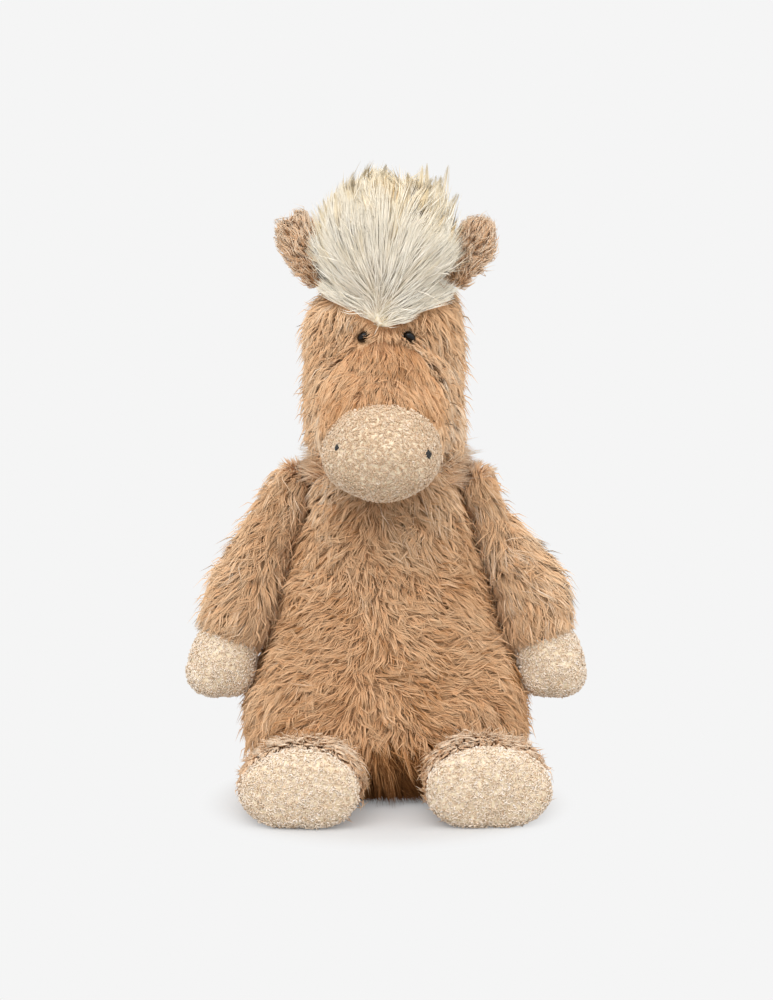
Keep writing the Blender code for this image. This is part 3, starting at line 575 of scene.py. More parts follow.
looped_skin = partial(
    Skin, inset=0.9, cloth=Cloth.LOOP_BACKING, voxel=1.6, hull=True, fill=0.7, lumps=0.4
)


# Pile


def tube_mesh(
    name: str, paths: Array, radii: Array, sides: Array, tones: Array, soften: float = 0.0
) -> bpy.types.Object:
    """Makes one mesh of many closed three-sided strands that end in a point.

    Args:
        name: The piece's name.
        paths: Points of each strand in millimetres, strands by joints by three.
        radii: Radius at each joint but the last, in millimetres.
        sides: A direction for each strand that is square to its run.
        tones: Tone of each strand from 0 to 1.
        soften: Share by which a strand is shaded as the surface that it lies on.

    Returns:
        The new object, with its pile map.
    """
    count, joints = paths.shape[:2]
    run = np.empty_like(paths)
    run[:, 1:-1] = paths[:, 2:] - paths[:, :-2]
    run[:, 0], run[:, -1] = paths[:, 1] - paths[:, 0], paths[:, -1] - paths[:, -2]
    run = unit(run)
    across = unit(np.cross(run, sides[:, None, :]))
    up = np.cross(across, run)
    angles = np.radians((90, 210, 330))
    ring = across[:, :, None] * np.cos(angles)[:, None] + up[:, :, None] * np.sin(angles)[:, None]
    rings = paths[:, :-1, None] + ring[:, :-1] * radii[:, :, None, None]
    points = np.concatenate([rings.reshape(count, -1, 3), paths[:, -1:]], axis=1)
    tip = 3 * (joints - 1)
    faces, places = [(0, 1, 2)], [((0.25, 0), (0.75, 0), (0.5, 0))]
    for k in range(joints - 2):
        low, high = k / (joints - 1), (k + 1) / (joints - 1)
        for j in range(3):
            a, b = 3 * k + j, 3 * k + (j + 1) % 3
            faces.append((a, a + 3, b + 3, b))
            places.append(((0.25, low), (0.25, high), (0.75, high), (0.75, low)))
    low = (joints - 2) / (joints - 1)
    for j in range(3):
        faces.append((tip - 3 + j, tip, tip - 3 + (j + 1) % 3))
        places.append(((0.25, low), (0.5, 1), (0.75, low)))
    corner = np.array([v for face in faces for v in face])
    place = np.array([p for face in places for p in face])
    loops = (np.arange(count)[:, None] * (tip + 1) + corner).ravel()
    column = np.minimum((tones * TONES).astype(int), TONES - 1)
    u = (column[:, None] + place[:, 0]) / TONES
    v = np.broadcast_to(0.01 + 0.98 * place[:, 1], u.shape)
    size = np.array([len(face) for face in faces])
    starts = (np.arange(count)[:, None] * len(corner) + (np.cumsum(size) - size)).ravel()
    mesh = bpy.data.meshes.new(name)
    mesh.vertices.add(points.shape[0] * points.shape[1])
    mesh.vertices.foreach_set("co", (points * MM).astype(np.float32).ravel())
    mesh.loops.add(len(loops))
    mesh.loops.foreach_set("vertex_index", loops.astype(np.int32))
    mesh.polygons.add(len(starts))
    mesh.polygons.foreach_set("loop_start", starts.astype(np.int32))
    mesh.polygons.foreach_set("use_smooth", np.ones(len(starts), bool))
    layer = mesh.uv_layers.new(name=PILE_MAP)
    layer.uv.foreach_set("vector", np.stack([u, v], axis=-1).astype(np.float32).ravel())
    mesh.update(calc_edges=True)
    if soften:
        turns = np.concatenate([ring[:, :-1].reshape(count, -1, 3), up[:, -1:]], axis=1)
        level = np.repeat(sides[:, None] - run * (run * sides[:, None]).sum(-1, keepdims=True), 3, axis=1)
        shading = unit(turns * (1 - soften) + level[:, : turns.shape[1]] * soften)
        agree = (shading * turns).sum(-1, keepdims=True)
        shading = unit(shading + turns * np.clip(0.5 - agree, 0, None))
        mesh.normals_split_custom_set_from_vertices(shading.reshape(-1, 3).astype(np.float32))
    made = bpy.data.objects.new(name, mesh)
    bpy.context.scene.collection.objects.link(made)
    return made


@dataclass
class Pile:
    """How one cloth's pile stands, lies and gathers into locks. Lengths are in millimetres."""

    density: float  # strands for each square millimetre
    length: float
    rise: tuple[float, ...]  # height over the skin at each joint after the root
    width: float
    lock: int = 6  # strands in a lock
    gather: float = 0.5  # share by which the tips of a lock meet
    cling: float = 0.8  # 1 follows the skin, 0 is straight
    lift: float = 28.0  # degrees at which a straight strand leaves the skin
    ruffle: float = 22.0  # degrees by which the comb wanders
    untidy: float = 14.0  # degrees by which locks differ
    wave: float = 0.6
    strays: float = 0.07
    tone: float = 0.5
    soften: float = 0.75  # share by which strands are shaded as the skin under them
    uneven: float = 1.0  # how much the strands' heights differ
    cloth: Cloth = Cloth.FUR

    def paths(
        self, surface: Surface, roots: Array, normals: Array, reach: Array, comb: Field, seed: int
    ) -> tuple[Array, Array]:
        """Lays the strands over the skin.

        Args:
            surface: The skin.
            roots: Where the strands stand.
            normals: The skin's directions there.
            reach: Share of the full length for each strand.
            comb: The direction in which pile is combed at a place.
            seed: The piece's random numbers.

        Returns:
            Points of each strand, and each strand's tone.
        """
        rng = np.random.default_rng(seed)
        count, joints = len(roots), len(self.rise) + 1
        middles = np.arange(0, count, self.lock)
        tree = KDTree(len(middles))
        for k, p in enumerate(roots[middles].tolist()):
            tree.insert(p, k)
        tree.balance()
        mine = np.array([tree.find(p)[1] for p in roots.tolist()], int)
        own = rng.normal(size=(len(middles), 4))[mine]
        stray = rng.random(count) < self.strays
        turn = np.radians(
            self.ruffle * drift(roots, 24.0, seed) + self.ruffle * 0.7 * drift(roots, 9.0, seed + 1)
            + self.untidy * own[:, 0] + rng.normal(size=count) * np.where(stray, 30, 5)
        )
        length = self.length * reach * (1 + 0.13 * own[:, 1]) * rng.uniform(0.82, 1.12, count)
        step = length / (joints - 1)
        lift = np.radians(self.lift + 7 * own[:, 2] + np.where(stray, 14, 0))
        start = turned(along_skin(comb(roots), normals), normals, turn)
        leave = start * np.cos(lift)[:, None] + normals * np.sin(lift)[:, None]
        differ = 1 + self.uneven * (0.22 * own[:, 3] + rng.uniform(-0.25, 0.25, count))
        high = np.sqrt(reach) * np.maximum(differ, 0.2) * np.where(stray, 1.7, 1)
        out = np.empty((count, joints, 3))
        out[:, 0] = roots - normals * ROOT_DEPTH
        ground, normal = roots, normals
        for k, height in enumerate(self.rise, 1):
            heading = turned(along_skin(comb(ground), normal), normal, turn)
            bend = np.sin(own[:, 0] * 3 + 2.6 * k) * self.wave * np.sqrt(reach)
            ground, normal = surface.settle(ground + heading * step[:, None])
            clung = ground + normal * (height * high)[:, None]
            straight = roots + leave * (step * k)[:, None]
            out[:, k] = clung * self.cling + straight * (1 - self.cling)
            out[:, k] += np.cross(normal, heading) * bend[:, None]
        for k in range(1, joints):
            share = self.gather * (k / (joints - 1)) ** 0.8 * np.where(stray, 0.2, 1)
            out[:, k] += (out[middles[mine], k] - out[:, k]) * share[:, None]
        out[:, :, 2] = np.maximum(out[:, :, 2], PILE_LIFT)
        tone = self.tone + 0.08 * own[:, 1] + 0.07 * rng.normal(size=count)
        return out, np.clip(tone + 0.09 * drift(roots, 30.0, seed + 2), 0, PALEST)

    def grow(
        self, name: str, surface: Surface, comb: Field, seed: int, reach: Field | None = None,
        parts: int = 1, tint: Field | None = None,
    ) -> None:
        """Grows the pile on a skin and finishes its pieces.

        Args:
            name: The pieces' name, to which a number is added where there are several.
            surface: The skin.
            comb: The direction in which pile is combed at a place.
            seed: The piece's random numbers.
            reach: Share of the full length at a place, 0 where nothing grows.
            parts: Pieces that it is divided into, as slices round the vertical.
            tint: What is added to the tone at a place.
        """
        rng = np.random.default_rng(seed + 100)
        roots, normals = surface.roots(self.density, rng)
        share = reach(roots).astype(float) if reach else np.ones(len(roots))
        kept = share > 0.02
        roots, normals, share = roots[kept], normals[kept], share[kept]
        paths, tones = self.paths(surface, roots, normals, share, comb, seed)
        if tint:
            tones = np.clip(tones + tint(roots), 0, PALEST)
        joints = paths.shape[1]
        taper = np.interp(np.arange(joints - 1) / (joints - 1), (0, 0.35, 1), (0.8, 1, 0.35))
        radii = self.width / 2 * taper * rng.uniform(0.75, 1.25, (len(roots), 1)) * (share**0.25)[:, None]
        order = np.argsort(np.arctan2(roots[:, 1] - roots[:, 1].mean(), roots[:, 0] - roots[:, 0].mean()))
        for k, some in enumerate(np.array_split(order, parts), 1):
            title = name if parts == 1 else f"{name}_{k}"
            piece = tube_mesh(title, paths[some], radii[some], normals[some], tones[some], self.soften)
            finish_piece(piece, self.cloth, surface.body)


@dataclass
class Curls:
    """Bouclé loops: short arcs of yarn that lie over each other. Lengths are in millimetres."""

    density: float = 0.68
    radius: float = 0.64
    yarn: float = 0.82
    stand: float = 0.3
    joints: int = 5
    tone: float = 0.47

    def grow(self, name: str, surface: Surface, seed: int, keep: Field | None = None) -> None:
        """Covers a skin with loops.

        Args:
            name: The piece's name.
            surface: The skin.
            seed: The piece's random numbers.
            keep: Above 0 where loops grow.
        """
        rng = np.random.default_rng(seed)
        roots, normals = surface.roots(self.density, rng)
        if keep:
            kept = keep(roots) > 0
            roots, normals = roots[kept], normals[kept]
        count = len(roots)
        tilt = unit(normals + unit(rng.normal(size=(count, 3))) * rng.uniform(0.15, 0.85, (count, 1)))
        first = unit(np.cross(tilt, rng.normal(size=(count, 3))))
        second = np.cross(tilt, first)
        sweep = rng.uniform(4.2, 5.6, count)
        angle = sweep[:, None] * np.linspace(0, 1, self.joints)
        size = self.radius * rng.uniform(0.75, 1.3, count)
        centre = roots + normals * (self.stand + rng.uniform(-0.3, 0.45, count))[:, None]
        paths = centre[:, None] + size[:, None, None] * (
            first[:, None] * np.cos(angle)[:, :, None] + second[:, None] * np.sin(angle)[:, :, None]
        )
        paths[:, :, 2] = np.maximum(paths[:, :, 2], SKIN_LIFT)
        taper = np.interp(np.arange(self.joints - 1), (0, 1, self.joints - 2), (0.5, 1, 0.85))
        radii = self.yarn / 2 * taper * rng.uniform(0.85, 1.15, (count, 1))
        tones = self.tone + 0.17 * rng.normal(size=count) + 0.08 * drift(roots, 7.0, seed)
        piece = tube_mesh(name, paths, radii, normals, np.clip(tones, 0, PALEST), 0.15)
        finish_piece(piece, Cloth.BOUCLE, surface.body)


FUR = Pile(density=1.06, length=10.5, rise=(3.2, 4.4), width=0.57, wave=0.8, untidy=20.0, ruffle=26.0)
HAIR = Pile(
    density=1.3, length=24.5, rise=(4.2, 6.4), width=0.54, lock=14, gather=0.3, cling=0.45, lift=12.0,
    ruffle=5.0, untidy=4.0, wave=0.2, strays=0.03, tone=0.7, soften=0.45, uneven=0.25, cloth=Cloth.HAIR,
)


# Sub-assemblies


@dataclass
class Trunk:
    """The body, with a whorl in the pile of its belly."""

    whorl: tuple[float, float] = (-6.0, 67.0)  # X and Z of its middle
    bare_above: float = 168.0
    bare_below: float = 2.0

    def comb(self, p: Array) -> Array:
        """Pile falls towards both flanks, and beside the whorl it runs nearly level."""
        x, y, z = p.T
        out = np.tanh((x - self.whorl[0] * (y < 0)) / 16)
        level = np.exp(-(((z - self.whorl[1] - 6) / 26) ** 2)) * abs(out) * (y < 10)
        return ways(out * (0.75 + 0.5 * level), 0.1 * np.sign(y), 0.85 * level - 1)

    def reach(self, p: Array) -> Array:
        """Short under the seat, long at the neck, none inside it."""
        z = p[:, 2]
        long = rise(z, -2, 14, 0.3) + 0.35 * rise(z, 146, 10)
        return np.where((z > self.bare_above) | (z < self.bare_below), 0, long)

    def crease(self, p: Array) -> Array:
        """Painted shading: darker where the arms and the legs shade the pile, and paler on the chest, painted
        light against the muzzle's shade.
        """
        x, y, z = p.T
        wide, front = abs(x), y < 0
        arm = rise(wide - (41 + (112 - z) * 0.26) + 4, 0, 6) * (z > 56) * (z < 150) * (y < 25)
        low = rise(z, 36, -20) * (wide < 34) * front
        chest = rise(z, 100, 20) * rise(wide, 34, -10) * front
        return 0.16 * chest - 0.2 * arm - 0.68 * low

    def flanks(self, p: Array) -> Array:
        """Fuller low at both flanks, most of all at its left."""
        x, _, z = p.T
        return -np.where(x > 0, 4.0, 2.0) * (hump(z, 52, 15) * rise(abs(x), 38, 10))

    def ruff(self, p: Array) -> Array:
        """Only beside the neck, above the shoulders."""
        x, y, z = p.T
        return np.where((z > 148) & (z < 168) & (abs(x) > 20) & (abs(y) < 32), 1.0, 0)

    def outwards(self, p: Array) -> Array:
        """From the neck out over the shoulders."""
        return ways(np.sign(p[:, 0]), p[:, 1] / 50, 0.25)

    def skirt(self, p: Array) -> Array:
        """Only in front, low between the feet."""
        x, y, z = p.T
        return np.where((abs(x - 3) < 29) & (y < -30) & (z < 36) & (z > 9), rise(z, 0, 24, 0.4), 0)

    def build(self) -> None:
        """Makes the skin and the pile."""
        nodes = ["body_cover", "seat_panel", "body_filling", "pellet_pouch"]
        skin = Skin(
            "trunk_skin", nodes, "trunk", 2.6, voxel=3.0, lumps=0.9, fill=0.7, press=self.flanks
        ).build()
        FUR.grow("trunk_fur", skin, self.comb, 11, self.reach, 5, self.crease)
        # A longer fringe hangs low between the feet; its dark tone of 0.22 is painted shade.
        hanging = Pile(
            density=1.5, length=26.0, rise=(3.0, 3.0), width=0.5, cling=0.0, lift=6.0, ruffle=6.0, untidy=6.0,
            tone=0.22, soften=0.4,
        )
        hanging.grow("trunk_fringe", skin, self.comb, 17, self.skirt, 1, self.crease)
        collar = Pile(
            density=1.6, length=18.0, rise=(5.0, 7.0), width=0.5, cling=0.2, lift=48.0, tone=0.75, soften=0.0
        )
        collar.grow("neck_ruff", skin, self.outwards, 19, self.ruff)


@dataclass
class Nostril:
    """A small diamond of satin stitches."""

    side: Side
    stitches: int = 5

    def build(self, muzzle: Surface) -> Array:
        """Makes the stitches on the muzzle.

        Args:
            muzzle: The surface that they are sewn into.

        Returns:
            Where the nostril is.
        """
        node = f"{self.side.word}_nostril"
        points = np.unique(node_points(node), axis=0)
        long, across, out = np.linalg.svd(points - points.mean(0), full_matrices=False)[2]
        tall, thread = (2.1, 1.1) if self.side is Side.LEFT else (1.55, 0.8)
        out = out * -np.sign(out[1])
        seat = muzzle.settle((points.max(0) + points.min(0))[None] / 2)[0][0]
        made = []
        for k in range(self.stitches):
            off = k - (self.stitches - 1) / 2
            half = tall * (1 - abs(off) / (self.stitches / 2 + 0.4))
            place = seat + across * off * thread * 0.75 + out * (0.6 - 0.15 * abs(off))
            axes = Matrix((across, out, long)).transposed().to_4x4()
            bpy.ops.mesh.primitive_cylinder_add(vertices=8, radius=thread / 2 * MM, depth=2 * half * MM)
            with editing():
                bpy.ops.mesh.bevel(offset=thread * 0.25 * MM, segments=2)
            made.append(bpy.context.object)
            made[-1].data.transform(Matrix.Translation(Vector(place * MM)) @ axes)
        for stitch in made:
            stitch.select_set(True)
        bpy.ops.object.join()
        pad = bpy.context.object
        pad.name = pad.data.name = f"{node}_stitches"
        bpy.ops.object.shade_smooth()
        finish_piece(pad, Cloth.NOSTRIL, "head", node)
        return seat


@dataclass
class Muzzle:
    """The bouclé muzzle with its two stitched nostrils."""

    nostril_room: float = 1.9  # mm round a nostril's middle without loops

    def jowls(self, p: Array) -> Array:
        """Fuller low at both sides."""
        x, _, z = p.T
        return -1.6 * hump(z, 162, 11) * rise(abs(x + 2), 12, 10)

    def build(self) -> Surface:
        """Makes the skin, the loops and the nostrils."""
        skin = looped_skin(
            "muzzle_skin", ["muzzle_cover"], "head", fill=0.8, lumps=0.5, press=self.jowls
        ).build()
        spots = [Nostril(side).build(skin) for side in Side]

        def keep(p: Array) -> Array:
            """No loops where the nostrils are."""
            return np.min([far_from(p, spot) for spot in spots], axis=0) - self.nostril_room

        # Its tone of 0.08 is painted shade: these loops are darker than the hands' and soles', as the
        # muzzle's top faces the lamps.
        Curls(density=0.82, radius=0.6, yarn=0.76, tone=0.08).grow("muzzle_loops", skin, 21, keep)
        return skin


@dataclass
class Eye:
    """A glossy domed eye with a flat rim."""

    side: Side
    radius: float = 3.4
    narrow: float = 0.7  # its height as a share of its width
    dome: float = 3.1
    slant: float = 32.0  # degrees by which it drops outwards

    def build(self) -> Array:
        """Makes the eye where its node is.

        Returns:
            The middle of its dome.
        """
        node = f"{self.side.word}_eye"
        points = node_points(node)
        axes = np.linalg.svd(points - points.mean(0), full_matrices=False)[2]
        spans = [np.ptp(points @ axis) for axis in axes]
        odd = int(np.argmax([abs(spans[k] - spans[k - 2]) + abs(spans[k] - spans[k - 1]) for k in range(3)]))
        out = axes[odd] * -np.sign(axes[odd][1])
        along = points @ out
        around = points - np.outer(along, out)
        centre = (around.max(0) + around.min(0)) / 2
        wide = far_from(around, centre) > self.radius * 0.9
        back = centre + out * along[wide].min()
        slant = math.radians(self.slant)
        long = along_skin(np.array((self.side.value * math.cos(slant), 0, -math.sin(slant))), out)
        turn = Matrix((long, np.cross(out, long), out)).transposed().to_4x4()
        bpy.ops.mesh.primitive_uv_sphere_add(segments=40, ring_count=24, radius=self.radius * MM)
        made = bpy.context.object
        with editing():
            bpy.ops.mesh.bisect(plane_co=(0, 0, 0), plane_no=(0, 0, 1), clear_inner=True, use_fill=True)
            bpy.ops.mesh.select_all(action="SELECT")
            bpy.ops.transform.resize(value=(1, self.narrow, self.dome / self.radius))
        made.data.transform(Matrix.Translation(Vector(back * MM)) @ turn)
        made.name = made.data.name = f"{node}_dome"
        bpy.ops.object.shade_smooth_by_angle(angle=math.radians(50))
        finish_piece(made, Cloth.EYE, "head", node)
        return back + out * self.dome / 2


@dataclass
class Head:
    """Skull and snout in long pile, the eyes, the muzzle and the mane."""

    neck: tuple[float, float, float] = (0.0, 0.0, 146.0)
    neck_radius: float = 35.5  # no pile within it
    snout: tuple[float, float] = (-30.0, 184.0)  # the snout lies in front of this Y and above this Z
    lid: float = 3.9  # mm round an eye's middle without pile

    def comb(self, p: Array) -> Array:
        """Pile falls and sweeps a little outwards, and runs straight down the snout."""
        x, y, _ = p.T
        return ways(x / np.where(y < -30, 170, 62), np.where(y < -15, -0.5, 0.1), -1.0)

    def lean(self, p: Array) -> Array:
        """Fuller on its right cheek, rounder at its right corner, and eased from brow to snout."""
        x, y, z = p.T
        cheek = rise(x, 0, 20, -1) * 1.3 * rise(z, 165, 20)
        corner = 3.5 * hump(z, 236, 8) * rise(x, -22, -8)
        bridge = 3.0 * hump(z, 212, 7) * rise(y, -28, -4) * (abs(x) < 30)
        return cheek + corner - bridge

    def tint(self, p: Array) -> Array:
        """Paler on the cheeks."""
        return 0.12 * rise(abs(p[:, 0]), 18, 10) * rise(p[:, 2], 200, -20)

    def build(self) -> None:
        """Makes the pieces of the head."""
        muzzle = Muzzle().build()
        eyes = [Eye(side).build() for side in Side]
        nodes = ["head_cover", "head_filling"]
        skin = Skin("head_skin", nodes, "head", 2.4, voxel=2.2, fill=0.7, press=self.lean).build()
        hair = Mane()
        mane = hair.build(skin)

        def snout(p: Array) -> Array:
            """Whether a place is on the snout's upper slope."""
            return (skin.settle(p)[1][:, 2] > 0.3) & (p[:, 1] < self.snout[0]) & (p[:, 2] > self.snout[1])

        def reach(p: Array) -> Array:
            """Short over the eyes and at the muzzle's seam, none in the socket or under the mane."""
            seam = muzzle.gap(p)
            full = np.clip(0.5 + seam / 16, 0.5, 1)
            bare = (seam < SEAM_GAP) | (far_from(p, self.neck) < self.neck_radius)
            for side, spot in zip(Side, eyes):
                off = (p - spot) * np.array((side.value, 0, 1))
                far = np.maximum(far_from(p, spot), 0.1)
                above = np.clip(off[:, 2] / far + 0.2, 0, 1) * (1 - 0.5 * np.clip(off[:, 0] / far, 0, 1))
                full = full * (1 - above * (1 - rise(far, 3.5, 9, 0.12)))
                bare = bare | (far < self.lid)
            return np.where(bare | hair.brow(p) | mane.covers(p, skin.settle(p)[1], 9.5), 0, full)

        def slope(p: Array) -> Array:
            """Only on the snout's upper slope."""
            return np.where(snout(p), reach(p), 0)

        def rest(p: Array) -> Array:
            """All but the snout's upper slope, shorter towards it."""
            edge = rise(skin.settle(p)[1][:, 2], 0, 0.3) * (p[:, 1] < -25) * (p[:, 2] > self.snout[1])
            return np.where(snout(p), 0, reach(p) * (1 - 0.4 * edge))

        pile = Pile(
            density=1.2, length=10.5, rise=(3.4, 4.6), width=0.55, ruffle=13.0, untidy=13.0, tone=0.66,
            soften=0.55,
        )
        pile.grow("head_fur", skin, self.comb, 31, rest, 2, self.tint)
        flat = Pile(
            density=1.5, length=14.0, rise=(2.8, 3.8), width=0.52, ruffle=9.0, untidy=8.0, tone=0.47,
            lift=4.0, cling=0.9, strays=0.02, soften=0.3, uneven=0.6,
        )
        flat.grow("snout_fur", skin, self.comb, 33, slope, 1, self.tint)
        for side in Side:
            Ear(side).build()


@dataclass
class Ear:
    """A cupped ear whose pile runs from the root to the rim."""

    side: Side
    root: tuple[float, float, float] = (31.1, 6.0, 240.2)  # of the left ear

    def slim(self, p: Array) -> Array:
        """Slimmer along the lower outer edge."""
        out, z = self.side.value * p[:, 0], p[:, 2]
        low = rise(out - 36 - (z - 242) * 0.5, 0, 6) * (z < 266)
        top = rise(out, 42, 4) * rise(z, 268, 4)
        return 3.0 * low + 2.5 * top * (self.side is Side.RIGHT)

    def comb(self, p: Array) -> Array:
        """Away from the root."""
        return p - np.array(self.root) * (self.side.value, 1, 1) + np.array((0, 0, 2.0))

    def reach(self, p: Array) -> Array:
        """Longest at the outer tip."""
        return 0.85 + 0.25 * rise(self.side.value * p[:, 0], 38, 10)

    def build(self) -> None:
        """Makes the skin and the pile."""
        body = f"{self.side.word}_ear"
        skin = Skin(
            f"{body}_skin", [f"{body}_cover", f"{body}_lining"], body, 1.2, voxel=1.2, fill=0.2, lumps=0.2,
            press=self.slim, give=0.8,
        ).build()
        # Its tone of 0.9 is painted light: paler than the body's pile, against the shade that the mane casts
        # on the ears.
        pile = Pile(
            density=1.7, length=8.5, rise=(2.8, 3.8), width=0.52, cling=0.75, lift=18.0, tone=0.9, soften=0.0,
            uneven=0.7,
        )
        pile.grow(f"{body}_fur", skin, self.comb, 41 + self.side.value, self.reach)


@dataclass
class Mane:
    """Very long straight pile that fans out from a point on the forehead."""

    point: tuple[float, float, float] = (-4.5, -36.0, 226.0)
    spread: float = 1.5  # how much wider than the bed the hair fans out

    def comb(self, p: Array) -> Array:
        """Away from the forelock's point in front, and down the nape behind."""
        x, y, _ = p.T
        off = p - np.array(self.point)
        least = np.where(off[:, 0] > 0, 0.4, 0.7) * abs(off[:, 0]) + 1
        off[:, 2] = np.where(y < 5, np.maximum(off[:, 2], least), off[:, 2])
        fan = np.arctan2(off[:, 0], off[:, 2])
        fan = fan * (self.spread - 0.45 * abs(fan))
        wide = np.hypot(off[:, 0], off[:, 2])
        away = unit(ways(np.sin(fan) * wide, off[:, 1], np.cos(fan) * wide))
        back = rise(y, 8, 26)[:, None]
        return away * (1 - back) + unit(ways(x / 24, 0.4, -1.0)) * back

    def reach(self, p: Array) -> Array:
        """Shorter at the point, where the fan starts, and at the nape, none below the brow."""
        full = np.clip(0.35 + far_from(p, self.point) / 40, 0.4, 1) * rise(p[:, 2], 150, 60, 0.5)
        return np.where(self.below(p) > 0.5, 0, full)

    def below(self, p: Array) -> Array:
        """How far a place in front lies below the forelock's edge."""
        return np.where(p[:, 1] < -12, self.edge(p[:, 0]) - p[:, 2], -9.0)

    def edge(self, x: Array) -> Array:
        """How high the forelock's lower edge runs, flatter on its left."""
        off = x - self.point[0]
        return self.point[2] + np.where(off > 0, np.maximum(off - 6, 0) * 0.3, -off * 0.44)

    def tint(self, p: Array) -> Array:
        """Golden at the crest and the sides, with a few golden streaks."""
        x, _, z = p.T
        rim = rise(z, 262, 18) + rise(abs(x), 22, 10)
        streak = np.clip(np.sin(np.arctan2(x, z - 215) * 23 + 1.0) - 0.75, 0, 1) * 0.9
        return -0.6 * np.clip(rim, 0, 1) * (0.6 + 0.4 * drift(p, 14.0, 5)) - streak

    def brow(self, p: Array) -> Array:
        """Where the forelock is rooted on the forehead."""
        x, y, z = p.T
        return (z > self.edge(x) + 0.5) & (y < -4) & (abs(x - 1) < 32) & (z < 262)

    def crest(self, p: Array) -> Array:
        """Along the rim, where locks stick out, longer on its left."""
        x, y, z = p.T
        off = np.hypot(x, np.maximum(z - 240, 0))
        longer = 1 + 0.4 * rise(x, 16, 6) * (z > 252)
        return np.where((off > 27) & (z > 240) & (y < 25), longer, 0)

    def build(self, skull: Surface) -> Surface:
        """Makes the bed and the hair.

        Args:
            skull: The head's surface, on which the bed lies.

        Returns:
            The bed's surface.
        """

        def seat(p: Array) -> Array:
            """Undoes the inset where the bed lies on the head, and hides its edge over the brow."""
            x, z = p[:, 0], p[:, 2]
            corner = rise(x, -2, 8) * rise(x, 24, -6) * rise(z, 268, 8)
            edge = 6 * rise(self.below(p), 0, 4) + 3.0 * corner
            return edge - 7.5 * rise(skull.gap(p), 6, -2.5)

        bed = Skin(
            "mane_bed", ["mane"], "head", 6.0, Cloth.HAIR_BACKING, fill=None, lumps=0.6, press=seat
        ).build()
        forelock = replace(
            HAIR, density=1.4, length=21.0, rise=(4.0, 6.0), width=0.5, lock=12, cling=0.6, lift=14.0,
            strays=0.0, tone=0.72,
        )
        forelock.grow("forelock_hair", skull, self.comb, 55, self.brow)
        HAIR.grow("mane_hair", bed, self.comb, 51, self.reach, 2, self.tint)
        locks = replace(
            HAIR, density=0.7, length=22.0, width=0.5, lock=26, gather=0.92, cling=0.2, lift=13.0, untidy=9.0,
            strays=0.04, tone=0.3, soften=0.0,
        )
        locks.grow("crest_locks", bed, self.comb, 57, self.crest)
        return bed


@dataclass
class Arm:
    """A long-pile sleeve with a bouclé hand."""

    side: Side
    inner: float = 0.26  # how far the arm's inner side moves out for each mm down

    def corners(self, p: Array) -> Array:
        """Fuller low at both sides of the hand and flatter at its bottom."""
        z, out, corner = on_disc(p, f"{self.side.word}_hand_cover")
        return 1.2 * np.clip(-z, 0, 1) ** 4 - 2.0 * (corner * (z < 0)) * rise(out, 0.5, 0.3)

    def shoulder(self, p: Array) -> Array:
        """Slopes the shoulder from the neck, more on the left."""
        slope, height, run_out = (8.0, 134, 22) if self.side is Side.LEFT else (4.5, 124, 20)
        return slope * hump(p[:, 2], height, run_out) * rise(self.side.value * p[:, 0], 44, 12)

    def crease(self, p: Array) -> Array:
        """Painted shade: darker on the side next to the body, where the body shades the sleeve."""
        out, z = self.side.value * p[:, 0], p[:, 2]
        return -0.5 * rise(47 + (112 - z) * self.inner - out, 0, 6) * (z < 146)

    def top(self, p: Array) -> Array:
        """Only on top of the shoulder, beside the neck."""
        return np.where((p[:, 2] > 149) & (self.side.value * p[:, 0] < 47), 1.0, 0)

    def over(self, p: Array) -> Array:
        """Out from the neck."""
        return np.broadcast_to((self.side.value, 0.0, 0.3), p.shape)

    def build(self) -> None:
        """Makes the skins, the pile and the loops."""
        word, sign = self.side.word, self.side.value
        body = f"{word}_arm"
        nodes = [f"{body}_cover", f"{body}_filling"]
        hand = looped_skin(f"{word}_hand_skin", [f"{word}_hand_cover"], body, press=self.corners).build()
        sleeve = Skin(f"{word}_sleeve_skin", nodes, body, 2.2, lumps=0.6, press=self.shoulder).build()
        low, high = node_box(f"{body}_cover")
        run = unit(np.array((sign * 40.0, -12.0, -78.0)))

        def comb(p: Array) -> Array:
            """Down the sleeve and outwards from its middle."""
            share = (high[2] - p[:, 2]) / (high[2] - low[2])
            middle = ways(sign * (46 + 34 * share), -1 - 8 * share, p[:, 2])
            return run + unit(p - middle) * 0.35 + np.array((sign * 0.15, 0, 0))

        def reach(p: Array) -> Array:
            """Short by the hand, none inside it."""
            gap = hand.gap(p)
            return np.where(gap < SEAM_GAP, 0, np.clip(0.4 + gap / 18, 0.45, 1.1))

        pile = Pile(density=1.22, length=12.0, rise=(3.4, 4.6), width=0.56, ruffle=14.0, tone=0.68)
        pile.grow(f"{word}_sleeve_fur", sleeve, comb, 61 + sign, reach, 1, self.crease)
        tuft = Pile(
            density=1.6, length=7.5, rise=(5.0, 8.0), width=0.48, cling=0.1, lift=40.0, tone=0.8, soften=0.0,
            ruffle=36.0,
        )
        tuft.grow(f"{word}_shoulder_tuft", sleeve, self.over, 66 + sign, self.top)
        Curls().grow(f"{word}_hand_loops", hand, 71 + sign)


